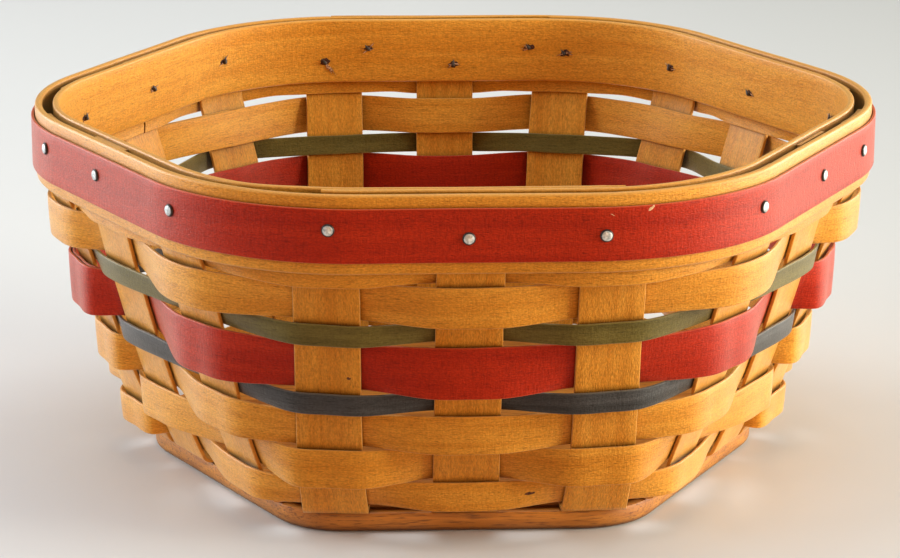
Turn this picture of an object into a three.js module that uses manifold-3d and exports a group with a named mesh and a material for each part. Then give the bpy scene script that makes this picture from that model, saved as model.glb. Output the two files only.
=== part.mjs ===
// A hexagonal splint basket: a grooved board, eighteen uprights, eight woven rows,
// and a rim of two bands and a coloured trim strip, held by clinched tacks.
// Millimetres, +Z up. The basket stands on z = 0 and its front faces -Y.

import * as THREE from 'three';
import { mergeVertices } from 'three/addons/utils/BufferGeometryUtils.js';
import Module from 'manifold-3d';

// Uprights: flat splints that stand in the board's groove and end inside the rim.
const UPRIGHT_WIDTH = 23.8;
const UPRIGHT_THICK = 1.5;
const UPRIGHT_TOP_DROP = 1.6;
const FOOT_BEND_RADIUS = 3.4;

// The uprights, counter-clockwise seen from above, the first one left of the front's
// middle. Each has its place at the foot and at the rim, in eighteenths of the wall's
// girth from the front's middle, and how far its hand-driven tack sits off its centre.
const UPRIGHTS = [
  { foot: -1.17, rim: -0.93, tackAside: 1.3, tackUp: 2.2 },
  { foot: -0.01, rim: -0.01, tackAside: -0.9, tackUp: -0.9 },
  { foot: 1.15, rim: 0.9, tackAside: -3.5, tackUp: -0.3 },
  { foot: 2.1, rim: 2.1, tackAside: -2.7, tackUp: 1.2 },
  { foot: 3.42, rim: 3.11, tackAside: -4.1, tackUp: 0.5 },
  { foot: 4.08, rim: 3.86, tackAside: -4.9, tackUp: 0.9 },
  { foot: 4.9, rim: 4.93, tackAside: -2.7, tackUp: -0.9 },
  { foot: 5.9, rim: 6.08, tackAside: -6.8, tackUp: -2.2 },
  { foot: 7.12, rim: 6.96, tackAside: 0.3, tackUp: -2 },
  { foot: 7.94, rim: 8.04, tackAside: -2.4, tackUp: -0.7 },
  { foot: 8.97, rim: 8.96, tackAside: -3.4, tackUp: -5.5 },
  { foot: 10.06, rim: 9.82, tackAside: 5.1, tackUp: -4.2 },
  { foot: 10.8, rim: 10.9, tackAside: 0.4, tackUp: 1.1 },
  { foot: 12.2, rim: 11.92, tackAside: -1.9, tackUp: -0.5 },
  { foot: 13.05, rim: 12.86, tackAside: -2.3, tackUp: -1.8 },
  { foot: 13.92, rim: 14.1, tackAside: 2.7, tackUp: 3 },
  { foot: 14.6, rim: 14.89, tackAside: 1.4, tackUp: 2 },
  { foot: 15.88, rim: 15.91, tackAside: 0.9, tackUp: 1.4 },
];

// The wall leans out from the board. Between board and rim it bows a little and its
// corners grow rounder.
const WALL_FOOT_APOTHEM = 107.4;
const WALL_FOOT_CORNER = 30;
const WALL_BOW = 1.9;
const CORNER_SWELL = 16;
// The wall leans on for a little above the rows below the top one, and the uprights stand
// plumb just below the rim.
const RIM_SPACE = 4.2;
const PLUMB_LENGTH = 1.5;
const HOLD_RAMP = 18;
const WALL_STEPS = 7;
const BEND_STEPS = 3;
// Half the height over which the wall's lean is taken.
const LEAN_SPAN = 0.5;

// Weavers: thin splints of four widths.
const WEAVER_THICK = 1.1;
const WEAVE_GAP = 0.4;
const FIRST_ROW_RISE = 4;
const ROW_GAP = 0.7;
const NARROW_GAP = 1.5;
const STARTER_WIDTH = 11.2;
const LOWER_WIDTH = 14.6;
const NARROW_WIDTH = 8;
const WIDE_WIDTH = 19.3;
const UPPER_WIDTH = 15;
// A weaver that passes outside an upright stands steeper than the wall and bulges a
// little, and one that passes inside it lies along the wall. Gaps between uprights take
// some steps each.
const EDGE_CLEARANCE = 0.6;
const OUTSIDE_BULGE = 0.8;
const INSIDE_BULGE = 0.5;
const BOTTOM_DRAW = 1;
const GAP_STEPS = 3;

// Rim: an outer band, an inner band and a trim strip on the outer band.
const RIM_APOTHEM = 149.1;
const RIM_CORNER = 82;
const OUTER_BAND_HEIGHT = 28.6;
const INNER_BAND_HEIGHT = 27.2;
const OUTER_BAND_THICK = 2.8;
const INNER_BAND_THICK = 2.4;
const RIM_GAP = 0.45;
const TRIM_HEIGHT = 19.6;
const TRIM_THICK = 1.2;
const TRIM_DROP = 4.5;
const TRIM_GAP = 0.3;
const CORNER_STEPS = 8;
// Two points of a hoop's plan curve lie at least this far apart.
const LEAST_SPACING = 0.5;

// Laps where the hoops' ends meet.
const INNER_LAP_START = -53;
const INNER_LAP_LENGTH = 108;
const INNER_LAP_RAMP = 32;
const INNER_LAP_BEVEL = 9;
const INNER_LAP_EDGE = 0.7;
const INNER_LAP_CLEARANCE = 2;
const OUTER_LAP_LENGTH = 92;
const TRIM_LAP_LENGTH = 44;
const SKIVED_EDGE = 0.5;
const SKIVED_TRIM_EDGE = 0.35;
const LAP_GAP = 0.35;
const LAP_END_OVERRUN = 2;
const LAP_END_STEP = 1.5;
const BUTT_GAP = 1;

// Board with a groove that takes the feet of the uprights.
const BOARD_APOTHEM = 105;
const BOARD_CORNER = 30;
const BOARD_LIP_HEIGHT = 7.6;
const BOARD_TOP = 13;
const BOARD_ROUND = 2.6;
const BOARD_EASE = 0.8;
const BOARD_UPPER_INSET = 2.7;
const GROOVE_DEPTH = 6.2;
const GROOVE_GAP = 0.4;
const FOOT_END_GAP = 0.5;
const BOARD_CORNER_STEPS = 6;
const BOARD_ROUND_STEPS = 3;

// Tacks, one through each upright and two more in the lap of the outer band.
const TACK_RISE = 14.3;
const LAP_TACK_RISE = 15.9;
const LAP_TACK_CLEARANCE = 2.6;
const TACK_HEAD_RADIUS = 2.3;
const TACK_HEAD_RIM = 0.45;
const TACK_HEAD_DOME = 0.35;
const TACK_SHANK_RADIUS = 0.75;
const TACK_HOLE_GAP = 0.45;
const TACK_SEAT_GAP = 0.3;
const TACK_TIP_LENGTH = 2.6;
const TACK_TIP_STAND = 1.15;
const TACK_BEND_RISE = 0.5;
const TACK_BEND_START = 0.2;
const TACK_SIDEWAYS = 0.8;
const TACK_SIDES = 6;

// Sizes that follow from the ones above.
const WEAVER_STEP = UPRIGHT_THICK / 2 + WEAVE_GAP + WEAVER_THICK / 2;
const LAYER_STEP = WEAVER_THICK + WEAVE_GAP;
const UPRIGHT_SHIFT = (WEAVER_THICK + RIM_GAP) / 2;
const WALL_RIM_INSET = OUTER_BAND_THICK + RIM_GAP + UPRIGHT_SHIFT + UPRIGHT_THICK / 2;
const INNER_BAND_INSET = OUTER_BAND_THICK + 3 * RIM_GAP + WEAVER_THICK + UPRIGHT_THICK;
const GROOVE_HEIGHT = UPRIGHT_THICK + 2 * GROOVE_GAP;
const FOOT_LEVEL = BOARD_LIP_HEIGHT + GROOVE_HEIGHT / 2;
const WALL_SPREAD = RIM_APOTHEM - WALL_RIM_INSET - WALL_FOOT_APOTHEM;
const HOLE_LENGTH = 3 * (INNER_BAND_INSET + 2 * INNER_BAND_THICK + LAP_GAP);
const UP = new THREE.Vector3(0, 0, 1);

const NATURAL = { color: 0xc98a3c, roughness: 0.42, metalness: 0 };
const RED = { color: 0x9c2318, roughness: 0.45, metalness: 0 };
const GREEN = { color: 0x4b4a22, roughness: 0.5, metalness: 0 };
const BLUE = { color: 0x3c4248, roughness: 0.5, metalness: 0 };
const BOARD_WOOD = { color: 0x9a5c1e, roughness: 0.5, metalness: 0 };
const STEEL = { color: 0x8f9294, roughness: 0.35, metalness: 0.9 };

// Rows from the bottom up. Odd rows pass outside the odd uprights, even rows the even ones.
// The gap is the one below the row. Rows ride up a little toward the sides and the back.
const ROWS = [
  {
    name: 'weaver_7_natural', width: STARTER_WIDTH, gap: FIRST_ROW_RISE, finish: NATURAL,
    outsideOdd: true, start: 10, sideRise: 1.4, backRise: 1.2,
  },
  {
    name: 'weaver_6_natural', width: LOWER_WIDTH, gap: ROW_GAP, finish: NATURAL,
    outsideOdd: false, start: 13, sideRise: 2.8, backRise: 1.6,
  },
  {
    name: 'weaver_5_natural', width: LOWER_WIDTH, gap: ROW_GAP, finish: NATURAL,
    outsideOdd: true, start: 8, sideRise: 3.7, backRise: 1.9,
  },
  {
    name: 'weaver_4_blue', width: NARROW_WIDTH, gap: NARROW_GAP, finish: BLUE,
    outsideOdd: false, start: 11, sideRise: 3.8, backRise: 1.7,
  },
  {
    name: 'weaver_3_red', width: WIDE_WIDTH, gap: NARROW_GAP, finish: RED,
    outsideOdd: true, start: 14, sideRise: 3, backRise: 1,
  },
  {
    name: 'weaver_2_green', width: NARROW_WIDTH, gap: NARROW_GAP, finish: GREEN,
    outsideOdd: false, start: 13, sideRise: 2.2, backRise: 0.4,
  },
  {
    name: 'weaver_1_natural', width: UPPER_WIDTH, gap: NARROW_GAP, finish: NATURAL,
    outsideOdd: true, start: 12, sideRise: 1.5, backRise: -0.2,
  },
  {
    name: 'weaver_0_natural', width: UPPER_WIDTH, gap: ROW_GAP, finish: NATURAL,
    outsideOdd: false, start: 13, sideRise: 1.3, backRise: 1.2,
  },
];
const TOP_ROW = ROWS[ROWS.length - 1];

// Heights that follow from the rows: the leaning wall is as long as the rows below the
// top one need and a little longer, and the rim sits on it.
const ROWS_LENGTH = ROWS.slice(0, -1).reduce((sum, row) => sum + row.gap + row.width, 0);
const WALL_LENGTH = ROWS_LENGTH + RIM_SPACE;
const WALL_RISE = Math.sqrt(WALL_LENGTH ** 2 - WALL_SPREAD ** 2);
const WALL_TOP = FOOT_LEVEL + WALL_RISE;
const RIM_BOTTOM = WALL_TOP + PLUMB_LENGTH;
const RIM_TOP = RIM_BOTTOM + OUTER_BAND_HEIGHT;
const TRIM_TOP = RIM_TOP - TRIM_DROP;
const TRIM_BOTTOM = TRIM_TOP - TRIM_HEIGHT;
const TACK_HEIGHT = RIM_BOTTOM + TACK_RISE;

const UPRIGHT_COUNT = UPRIGHTS.length;
const BACK_MIDDLE = 1 + UPRIGHT_COUNT / 2;
const SIDE_NAMES = ['front', 'right_front', 'right_back', 'back', 'left_back', 'left_front'];

const wasm = await Module();
wasm.setup();

// Plan curves

// A hexagon with rounded corners, followed by its length from the middle of the front,
// counter-clockwise seen from above.
function hexagonOutline(apothem, corner) {
  const flat = apothem / Math.sqrt(3) - corner * Math.tan(Math.PI / 6);
  const side = 2 * flat + corner * Math.PI / 3;
  function at(length) {
    const along = length + flat;
    const index = Math.floor(along / side);
    const rest = along - index * side;
    const turn = Math.max(0, rest - 2 * flat) / corner;
    const heading = -Math.PI / 2 + index * Math.PI / 3;
    const facing = new THREE.Vector3(Math.cos(heading), Math.sin(heading), 0);
    const running = new THREE.Vector3(-facing.y, facing.x, 0);
    const normal = new THREE.Vector3(Math.cos(heading + turn), Math.sin(heading + turn), 0);
    const point = facing.clone().multiplyScalar(apothem - corner);
    point.addScaledVector(running, Math.min(rest - flat, flat));
    point.addScaledVector(normal, corner);
    return { point, normal, tangent: new THREE.Vector3(-normal.y, normal.x, 0) };
  }
  return { flat, side, girth: 6 * side, at };
}

const rimOutline = hexagonOutline(RIM_APOTHEM, RIM_CORNER);

// How far up the leaning wall a height lies: 0 at the feet, 1 where it turns plumb.
function wallShare(z) {
  return THREE.MathUtils.clamp((z - FOOT_LEVEL) / WALL_RISE, 0, 1);
}

function wallApothem(z) {
  const share = wallShare(z);
  return WALL_FOOT_APOTHEM + WALL_SPREAD * share + 6.75 * WALL_BOW * share * (1 - share) ** 2;
}

// The corner swell is none at the foot and the rim and greatest two thirds of the way up.
function wallOutline(z) {
  const share = wallShare(z);
  const straight = THREE.MathUtils.lerp(WALL_FOOT_CORNER, RIM_CORNER - WALL_RIM_INSET, share);
  return hexagonOutline(wallApothem(z), straight + 6.75 * CORNER_SWELL * share ** 2 * (1 - share));
}

// Lean of the wall from the vertical, in radians.
function wallLean(z) {
  return Math.atan((wallApothem(z + LEAN_SPAN) - wallApothem(z - LEAN_SPAN)) / (2 * LEAN_SPAN));
}

// Place of an upright as a share of the girth. Numbers past the last one go round again.
function uprightPlace(number, z) {
  const { foot, rim } = UPRIGHTS[number % UPRIGHT_COUNT];
  const share = THREE.MathUtils.clamp((z - FOOT_LEVEL) / (TACK_HEIGHT - FOOT_LEVEL), 0, 1);
  return Math.floor(number / UPRIGHT_COUNT) + THREE.MathUtils.lerp(foot, rim, share) / UPRIGHT_COUNT;
}

function passesOutside(row, number) {
  return (number % 2 === 1) === row.outsideOdd;
}

// Heights of a row's two edges at a share of the girth.
function rowEdges(row, place) {
  const angle = 2 * Math.PI * place;
  const back = Math.max(0, -Math.cos(angle));
  const rise = row.sideRise * Math.sin(angle) ** 2 + row.backRise * back ** 2;
  return { top: row.top + rise, bottom: row.bottom + rise };
}

// A point of an upright's middle surface. The splint is flat on the wall and takes the
// rim's curve between the bands, where it also steps in or out beside the top row.
function uprightPoint(number, across, z) {
  const outline = wallOutline(z);
  const length = uprightPlace(number, z) * outline.girth;
  const middle = outline.at(length);
  const bent = outline.at(length + across);
  const hold = THREE.MathUtils.smoothstep(z, WALL_TOP - HOLD_RAMP, WALL_TOP);
  const point = middle.point.addScaledVector(middle.tangent, across).lerp(bent.point, hold);
  const normal = middle.normal.lerp(bent.normal, hold).normalize();
  const side = passesOutside(TOP_ROW, number) ? -1 : 1;
  point.addScaledVector(normal, side * UPRIGHT_SHIFT * hold);
  point.z = z;
  return { point, normal };
}

// Solids

function geometryFrom(vertices, triangles) {
  let volume = 0;
  for (const [a, b, c] of triangles) {
    volume += vertices[a].dot(new THREE.Vector3().crossVectors(vertices[b], vertices[c]));
  }
  const index = volume > 0 ? triangles.flat() : triangles.flatMap(([a, b, c]) => [a, c, b]);
  const geometry = new THREE.BufferGeometry();
  const positions = vertices.flatMap((vertex) => vertex.toArray());
  geometry.setAttribute('position', new THREE.Float32BufferAttribute(positions, 3));
  geometry.setIndex(index);
  return geometry;
}

// A solid strip through stations, each with matching points on its outer and inner face.
function stripSolid(stations) {
  const width = stations[0].outer.length;
  const ring = 2 * width;
  const vertices = stations.flatMap(({ outer, inner }) => [...outer, ...[...inner].reverse()]);
  const triangles = [];
  for (let i = 0; i < stations.length - 1; i++) {
    for (let j = 0; j < ring; j++) {
      const a = i * ring + j;
      const b = i * ring + (j + 1) % ring;
      triangles.push([a, b, b + ring], [a, b + ring, a + ring]);
    }
  }
  const last = (stations.length - 1) * ring;
  for (let j = 0; j < width - 1; j++) {
    const k = ring - 1 - j;
    triangles.push([j, k, k - 1], [j, k - 1, j + 1]);
    triangles.push([last + j, last + k - 1, last + k], [last + j, last + j + 1, last + k - 1]);
  }
  return geometryFrom(vertices, triangles);
}

// A solid of rings with the same number of points, closed flat or to a point at each end.
function ringSolid(rings) {
  const vertices = rings.flat();
  const starts = rings.map((_, i) => rings.slice(0, i).reduce((sum, ring) => sum + ring.length, 0));
  const triangles = [];
  for (let i = 0; i < rings.length - 1; i++) {
    const lower = rings[i].length;
    const upper = rings[i + 1].length;
    const count = Math.max(lower, upper);
    for (let j = 0; j < count; j++) {
      const a = starts[i] + j % lower;
      const b = starts[i] + (j + 1) % lower;
      const c = starts[i + 1] + (j + 1) % upper;
      const d = starts[i + 1] + j % upper;
      if (lower > 1) triangles.push([a, b, c]);
      if (upper > 1) triangles.push([a, c, d]);
    }
  }
  return geometryFrom(vertices, triangles);
}

function toManifold(geometry) {
  const bare = geometry.clone();
  bare.deleteAttribute('normal');
  bare.deleteAttribute('uv');
  const merged = mergeVertices(bare, 1e-5);
  return new wasm.Manifold(new wasm.Mesh({
    numProp: 3,
    vertProperties: new Float32Array(merged.attributes.position.array),
    triVerts: new Uint32Array(merged.index.array),
  }));
}

function cutAway(geometry, cutters) {
  let solid = toManifold(geometry);
  for (const cutter of cutters) {
    solid = solid.subtract(toManifold(cutter));
  }
  const mesh = solid.getMesh();
  const result = new THREE.BufferGeometry();
  result.setAttribute('position', new THREE.BufferAttribute(mesh.vertProperties, 3));
  result.setIndex(new THREE.BufferAttribute(mesh.triVerts, 1));
  return result;
}

function namedMesh(name, geometry, finish) {
  geometry.computeVertexNormals();
  const mesh = new THREE.Mesh(geometry, new THREE.MeshStandardMaterial(finish));
  mesh.name = name;
  return mesh;
}

// Board

function boardGeometry() {
  const lip = hexagonOutline(BOARD_APOTHEM, BOARD_CORNER);
  const arc = lip.side - 2 * lip.flat;
  const lengths = [];
  for (let side = 0; side < 6; side++) {
    for (let i = 0; i <= BOARD_CORNER_STEPS; i++) {
      lengths.push(side * lip.side + lip.flat + arc * i / BOARD_CORNER_STEPS);
    }
  }
  const ringAt = (inset, z) => lengths.map((length) => {
    const { point, normal } = lip.at(length);
    return point.addScaledVector(normal, -inset).setZ(z);
  });
  const rounding = Array.from({ length: BOARD_ROUND_STEPS + 1 }, (_, i) => {
    const angle = i / BOARD_ROUND_STEPS * Math.PI / 2;
    return ringAt(BOARD_ROUND * (1 - Math.sin(angle)), BOARD_ROUND * (1 - Math.cos(angle)));
  });
  return ringSolid([
    [new THREE.Vector3(0, 0, 0)],
    ...rounding,
    ringAt(0, BOARD_LIP_HEIGHT - BOARD_EASE),
    ringAt(BOARD_EASE, BOARD_LIP_HEIGHT),
    ringAt(GROOVE_DEPTH, BOARD_LIP_HEIGHT),
    ringAt(GROOVE_DEPTH, BOARD_LIP_HEIGHT + GROOVE_HEIGHT),
    ringAt(BOARD_UPPER_INSET, BOARD_LIP_HEIGHT + GROOVE_HEIGHT),
    ringAt(BOARD_UPPER_INSET, BOARD_TOP - BOARD_EASE),
    ringAt(BOARD_UPPER_INSET + BOARD_EASE, BOARD_TOP),
    [new THREE.Vector3(0, 0, BOARD_TOP)],
  ]);
}

// Uprights

// Stations along an upright from the end of its foot to its top: the height, the way in
// from the wall's surface and the angle that the splint makes with the floor.
function uprightStations() {
  const bendEnd = Math.PI / 2 - wallLean(FOOT_LEVEL + FOOT_BEND_RADIUS);
  const wallStart = FOOT_LEVEL + FOOT_BEND_RADIUS * (1 - Math.cos(bendEnd));
  const footReach = wallApothem(wallStart) - (BOARD_APOTHEM - GROOVE_DEPTH + FOOT_END_GAP);
  const stations = [{ z: FOOT_LEVEL, inset: footReach, angle: 0, wallStart }];
  for (let i = 0; i < BEND_STEPS; i++) {
    const angle = bendEnd * i / BEND_STEPS;
    stations.push({
      z: FOOT_LEVEL + FOOT_BEND_RADIUS * (1 - Math.cos(angle)),
      inset: FOOT_BEND_RADIUS * (Math.sin(bendEnd) - Math.sin(angle)),
      angle,
      wallStart,
    });
  }
  for (let i = 0; i < WALL_STEPS; i++) {
    const z = THREE.MathUtils.lerp(wallStart, WALL_TOP, i / WALL_STEPS);
    stations.push({ z, inset: 0, angle: Math.PI / 2 - wallLean(z), wallStart });
  }
  stations.push({ z: WALL_TOP, inset: 0, angle: Math.PI / 2 - wallLean(WALL_TOP - 1) / 2, wallStart });
  stations.push({ z: RIM_TOP - UPRIGHT_TOP_DROP, inset: 0, angle: Math.PI / 2, wallStart });
  return stations;
}

function uprightGeometry(number) {
  const stations = uprightStations().map(({ z, inset, angle, wallStart }) => {
    const faces = { outer: [], inner: [] };
    for (const across of [-UPRIGHT_WIDTH / 2, 0, UPRIGHT_WIDTH / 2]) {
      const { point, normal } = uprightPoint(number, across, Math.max(z, wallStart));
      point.addScaledVector(normal, -inset).setZ(z);
      const out = normal.clone().multiplyScalar(Math.sin(angle)).setZ(-Math.cos(angle));
      faces.outer.push(point.clone().addScaledVector(out, UPRIGHT_THICK / 2));
      faces.inner.push(point.clone().addScaledVector(out, -UPRIGHT_THICK / 2));
    }
    return faces;
  });
  return stripSolid(stations);
}

// Weavers

function isPinched(row) {
  return row === TOP_ROW;
}

// Control points of a row where it passes one upright, for its top and bottom edge, with
// the number of steps to the next ones. The pinched top row takes no bulge.
function passingPoints(row, number, layer, acrosses) {
  const half = UPRIGHT_WIDTH / 2 + EDGE_CLEARANCE;
  const step = WEAVER_STEP + layer * LAYER_STEP;
  const edges = rowEdges(row, uprightPlace(number, row.top));
  return acrosses.map((across) => {
    const bulge = isPinched(row) ? 0 : 1 - Math.abs(across) / half;
    const draw = isPinched(row) ? 0 : BOTTOM_DRAW;
    const steps = across === half ? GAP_STEPS : 1;
    const top = uprightPoint(number, across, edges.top);
    if (passesOutside(row, number)) {
      top.point.addScaledVector(top.normal, step / Math.cos(wallLean(edges.top)) + OUTSIDE_BULGE * bulge);
      const foot = top.point.clone().addScaledVector(top.normal, -draw);
      return { top: top.point, foot: foot.setZ(edges.top - row.width), steps };
    }
    const foot = uprightPoint(number, across, edges.bottom);
    top.point.addScaledVector(top.normal, -step / Math.cos(wallLean(edges.top)) - INSIDE_BULGE * bulge);
    foot.point.addScaledVector(foot.normal, -step / Math.cos(wallLean(edges.bottom)) - INSIDE_BULGE * bulge);
    return { top: top.point, foot: foot.point, steps };
  });
}

// The pinched row keeps to the middle of its space halfway to the next upright.
function halfwayPoint(row, number) {
  const outline = wallOutline(row.top);
  const place = (uprightPlace(number, row.top) + uprightPlace(number + 1, row.top)) / 2;
  const { point } = outline.at(place * outline.girth);
  const { top, bottom } = rowEdges(row, place);
  return { top: point.clone().setZ(top), foot: point.clone().setZ(bottom), steps: GAP_STEPS };
}

// Where the ends lap, the second layer lies between the first one and the basket's inside.
function rowLayer(row, number) {
  const step = number - row.start;
  return step === 1 || step === UPRIGHT_COUNT || step === UPRIGHT_COUNT + 2 ? 1 : 0;
}

// The pinched row has no room for a lap, so its ends meet behind an upright.
function rowPath(row) {
  const half = UPRIGHT_WIDTH / 2 + EDGE_CLEARANCE;
  const overrun = isPinched(row) ? -BUTT_GAP / 2 : LAP_END_OVERRUN;
  const last = row.start + UPRIGHT_COUNT + (isPinched(row) ? 0 : 2);
  const path = [];
  for (let number = row.start; number <= last; number++) {
    let acrosses = [-half, 0, half];
    if (number === row.start) acrosses = [-overrun, half];
    if (number === last) acrosses = [-half, overrun];
    const layer = isPinched(row) ? 0 : rowLayer(row, number);
    path.push(...passingPoints(row, number, layer, acrosses));
    if (isPinched(row) && number < last) path.push(halfwayPoint(row, number));
  }
  return path;
}

// The pinched row bends along its length where the wall turns plumb.
function rowGeometry(row) {
  const path = rowPath(row);
  const top = new THREE.CatmullRomCurve3(path.map((pair) => pair.top));
  const bottom = new THREE.CatmullRomCurve3(path.map((pair) => pair.foot));
  const spans = path.length - 1;
  const shares = [];
  for (let span = 0; span < spans; span++) {
    const { steps } = path[span];
    for (let i = 0; i < steps; i++) shares.push((span + i / steps) / spans);
  }
  const stations = [...shares, 1].map((share) => {
    const upper = top.getPoint(share);
    const lower = bottom.getPoint(share);
    const rise = isPinched(row) ? UP : upper.clone().sub(lower).normalize();
    const out = top.getTangent(share).cross(rise).normalize().multiplyScalar(WEAVER_THICK / 2);
    const edges = isPinched(row) ? [lower, upper.clone().setZ(WALL_TOP), upper] : [lower, upper];
    return {
      outer: edges.map((point) => point.clone().add(out)),
      inner: edges.map((point) => point.clone().sub(out)),
    };
  });
  return stripSolid(stations);
}

// Stack the rows along the wall's slope and give each its top and bottom height at the front.
function stackRows() {
  let along = 0;
  for (const row of ROWS) {
    row.bottom = FOOT_LEVEL + (along + row.gap) * WALL_RISE / WALL_LENGTH;
    along += row.gap + row.width;
    row.top = FOOT_LEVEL + along * WALL_RISE / WALL_LENGTH;
  }
}

// Rim bands

// Lengths along the rim where its plan curve needs a point, from one length to another.
function rimLengths(from, to, extra) {
  const lengths = [from, to, ...extra];
  const arc = rimOutline.side - 2 * rimOutline.flat;
  for (let side = Math.floor(from / rimOutline.side) - 1; side * rimOutline.side < to; side++) {
    for (let i = 0; i <= CORNER_STEPS; i++) {
      const length = side * rimOutline.side + rimOutline.flat + arc * i / CORNER_STEPS;
      if (length > from + LEAST_SPACING && length < to - LEAST_SPACING) lengths.push(length);
    }
  }
  return lengths.sort((a, b) => a - b);
}

// A hoop between two insets from the rim's outline, given as functions of the length.
function hoopGeometry(lengths, outerInset, innerInset, bottom, top) {
  return stripSolid(lengths.map((length) => {
    const { point, normal } = rimOutline.at(length);
    const faceAt = (inset) => [bottom, top].map((z) => point.clone().addScaledVector(normal, -inset).setZ(z));
    return { outer: faceAt(outerInset(length)), inner: faceAt(innerInset(length)) };
  }));
}

// A hoop whose thinned ends lap each other on the back without thickening it.
function skivedHoop(outerInset, thickness, lap, edge, bottom, top) {
  const from = rimOutline.girth / 2 - lap / 2;
  const to = from + rimOutline.girth;
  const inner = outerInset + thickness;
  const middle = LAP_END_STEP / 2;
  const under = (length) => THREE.MathUtils.lerp(edge, thickness - LAP_GAP - edge, (length - from) / lap);
  const outerAt = (length) => (length < from + lap + middle ? inner - under(length) : outerInset);
  const overlaid = (length) => inner - under(length - rimOutline.girth) - LAP_GAP;
  const innerAt = (length) => (length > to - middle ? overlaid(length) : inner);
  const lengths = rimLengths(from, to + lap, [from + lap, from + lap + LAP_END_STEP, to - LAP_END_STEP, to]);
  return hoopGeometry(lengths, outerAt, innerAt, bottom, top);
}

// The inner band's end runs on inside its start, past three uprights of the front.
function innerBandInset(length) {
  const lapAt = INNER_LAP_START + rimOutline.girth;
  const layer = INNER_BAND_THICK + LAP_GAP;
  const rampEnd = lapAt - INNER_LAP_CLEARANCE;
  return INNER_BAND_INSET + layer * THREE.MathUtils.smoothstep(length, rampEnd - INNER_LAP_RAMP, rampEnd);
}

function innerBandGeometry() {
  const to = INNER_LAP_START + rimOutline.girth + INNER_LAP_LENGTH;
  const bevel = (length) => Math.max(0, length - (to - INNER_LAP_BEVEL)) / INNER_LAP_BEVEL;
  const rampEnd = INNER_LAP_START + rimOutline.girth - INNER_LAP_CLEARANCE;
  const ramp = [0, 0.25, 0.5, 0.75, 1].map((share) => rampEnd - share * INNER_LAP_RAMP);
  const lengths = rimLengths(INNER_LAP_START, to, [...ramp, to - INNER_LAP_BEVEL]);
  const thickAt = (length) => THREE.MathUtils.lerp(INNER_BAND_THICK, INNER_LAP_EDGE, bevel(length));
  const innerAt = (length) => innerBandInset(length) + thickAt(length);
  return hoopGeometry(lengths, innerBandInset, innerAt, RIM_TOP - INNER_BAND_HEIGHT, RIM_TOP);
}

// Tacks

// Where each tack goes: its name, its length along the rim and its height.
function tackPlaces() {
  const places = [];
  UPRIGHTS.forEach(({ tackAside, tackUp }, number) => {
    const length = uprightPlace(number, TACK_HEIGHT) * rimOutline.girth + tackAside;
    places.push({ name: `tack_${sideAndNumber(number)}`, length, z: TACK_HEIGHT + tackUp, number });
  });
  for (const side of [-1, 1]) {
    const upright = uprightPlace(BACK_MIDDLE + side, TACK_HEIGHT) * rimOutline.girth;
    const length = upright - side * (UPRIGHT_WIDTH / 2 + LAP_TACK_CLEARANCE);
    const name = side < 0 ? 'lap_tack_right' : 'lap_tack_left';
    places.push({ name, length, z: RIM_BOTTOM + LAP_TACK_RISE, number: -1 });
  }
  return places;
}

function sideAndNumber(number) {
  return `${SIDE_NAMES[Math.floor(number / 3)]}_${number % 3 + 1}`;
}

// Depth of the inner band's inner face behind the rim's outline at a length.
function rimDepth(length) {
  const wrapped = THREE.MathUtils.euclideanModulo(length - INNER_LAP_START, rimOutline.girth);
  const onLap = wrapped < INNER_LAP_LENGTH;
  return INNER_BAND_INSET + INNER_BAND_THICK + (onLap ? INNER_BAND_THICK + LAP_GAP : 0);
}

function tackGeometry({ length, z, number }) {
  const { point, normal, tangent } = rimOutline.at(length);
  const up = new THREE.Vector3(0, 0, 1);
  const sideways = number % 2 === 0 ? 0 : TACK_SIDEWAYS;
  const clinch = up.clone().addScaledVector(tangent, sideways).normalize();
  const seat = TRIM_GAP + TRIM_THICK + TACK_SEAT_GAP;
  const inside = -rimDepth(length);
  const centre = point.clone().setZ(z);
  const place = (out, along) => centre.clone().addScaledVector(normal, out).addScaledVector(clinch, along);
  const side = new THREE.Vector3().crossVectors(clinch, normal);
  const ring = (middle, radius, tilt) => {
    const axis = clinch.clone().multiplyScalar(Math.cos(tilt)).addScaledVector(normal, Math.sin(tilt));
    return Array.from({ length: TACK_SIDES }, (_, i) => {
      const angle = 2 * Math.PI * i / TACK_SIDES;
      return middle.clone()
        .addScaledVector(side, radius * Math.cos(angle))
        .addScaledVector(axis, radius * Math.sin(angle));
    });
  };
  return ringSolid([
    [place(seat + TACK_HEAD_RIM + TACK_HEAD_DOME, 0)],
    ring(place(seat + TACK_HEAD_RIM, 0), TACK_HEAD_RADIUS, 0),
    ring(place(seat, 0), TACK_HEAD_RADIUS, 0),
    ring(place(seat, 0), TACK_SHANK_RADIUS, 0),
    ring(place(inside - TACK_BEND_START, 0), TACK_SHANK_RADIUS, 0),
    ring(place(inside - TACK_TIP_STAND, TACK_BEND_RISE), TACK_SHANK_RADIUS, Math.PI / 4),
    [place(inside - TACK_TIP_STAND, TACK_TIP_LENGTH)],
  ]);
}

function tackHole({ length, z }) {
  const { point, normal } = rimOutline.at(length);
  const radius = (TACK_SHANK_RADIUS + TACK_HOLE_GAP) / Math.cos(Math.PI / TACK_SIDES);
  const hole = new THREE.CylinderGeometry(radius, radius, HOLE_LENGTH, TACK_SIDES);
  const turn = new THREE.Quaternion().setFromUnitVectors(new THREE.Vector3(0, 1, 0), normal);
  hole.applyQuaternion(turn);
  hole.translate(point.x, point.y, z);
  return hole;
}

// Assembly

stackRows();
const places = tackPlaces();
const holes = places.map(tackHole);

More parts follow.
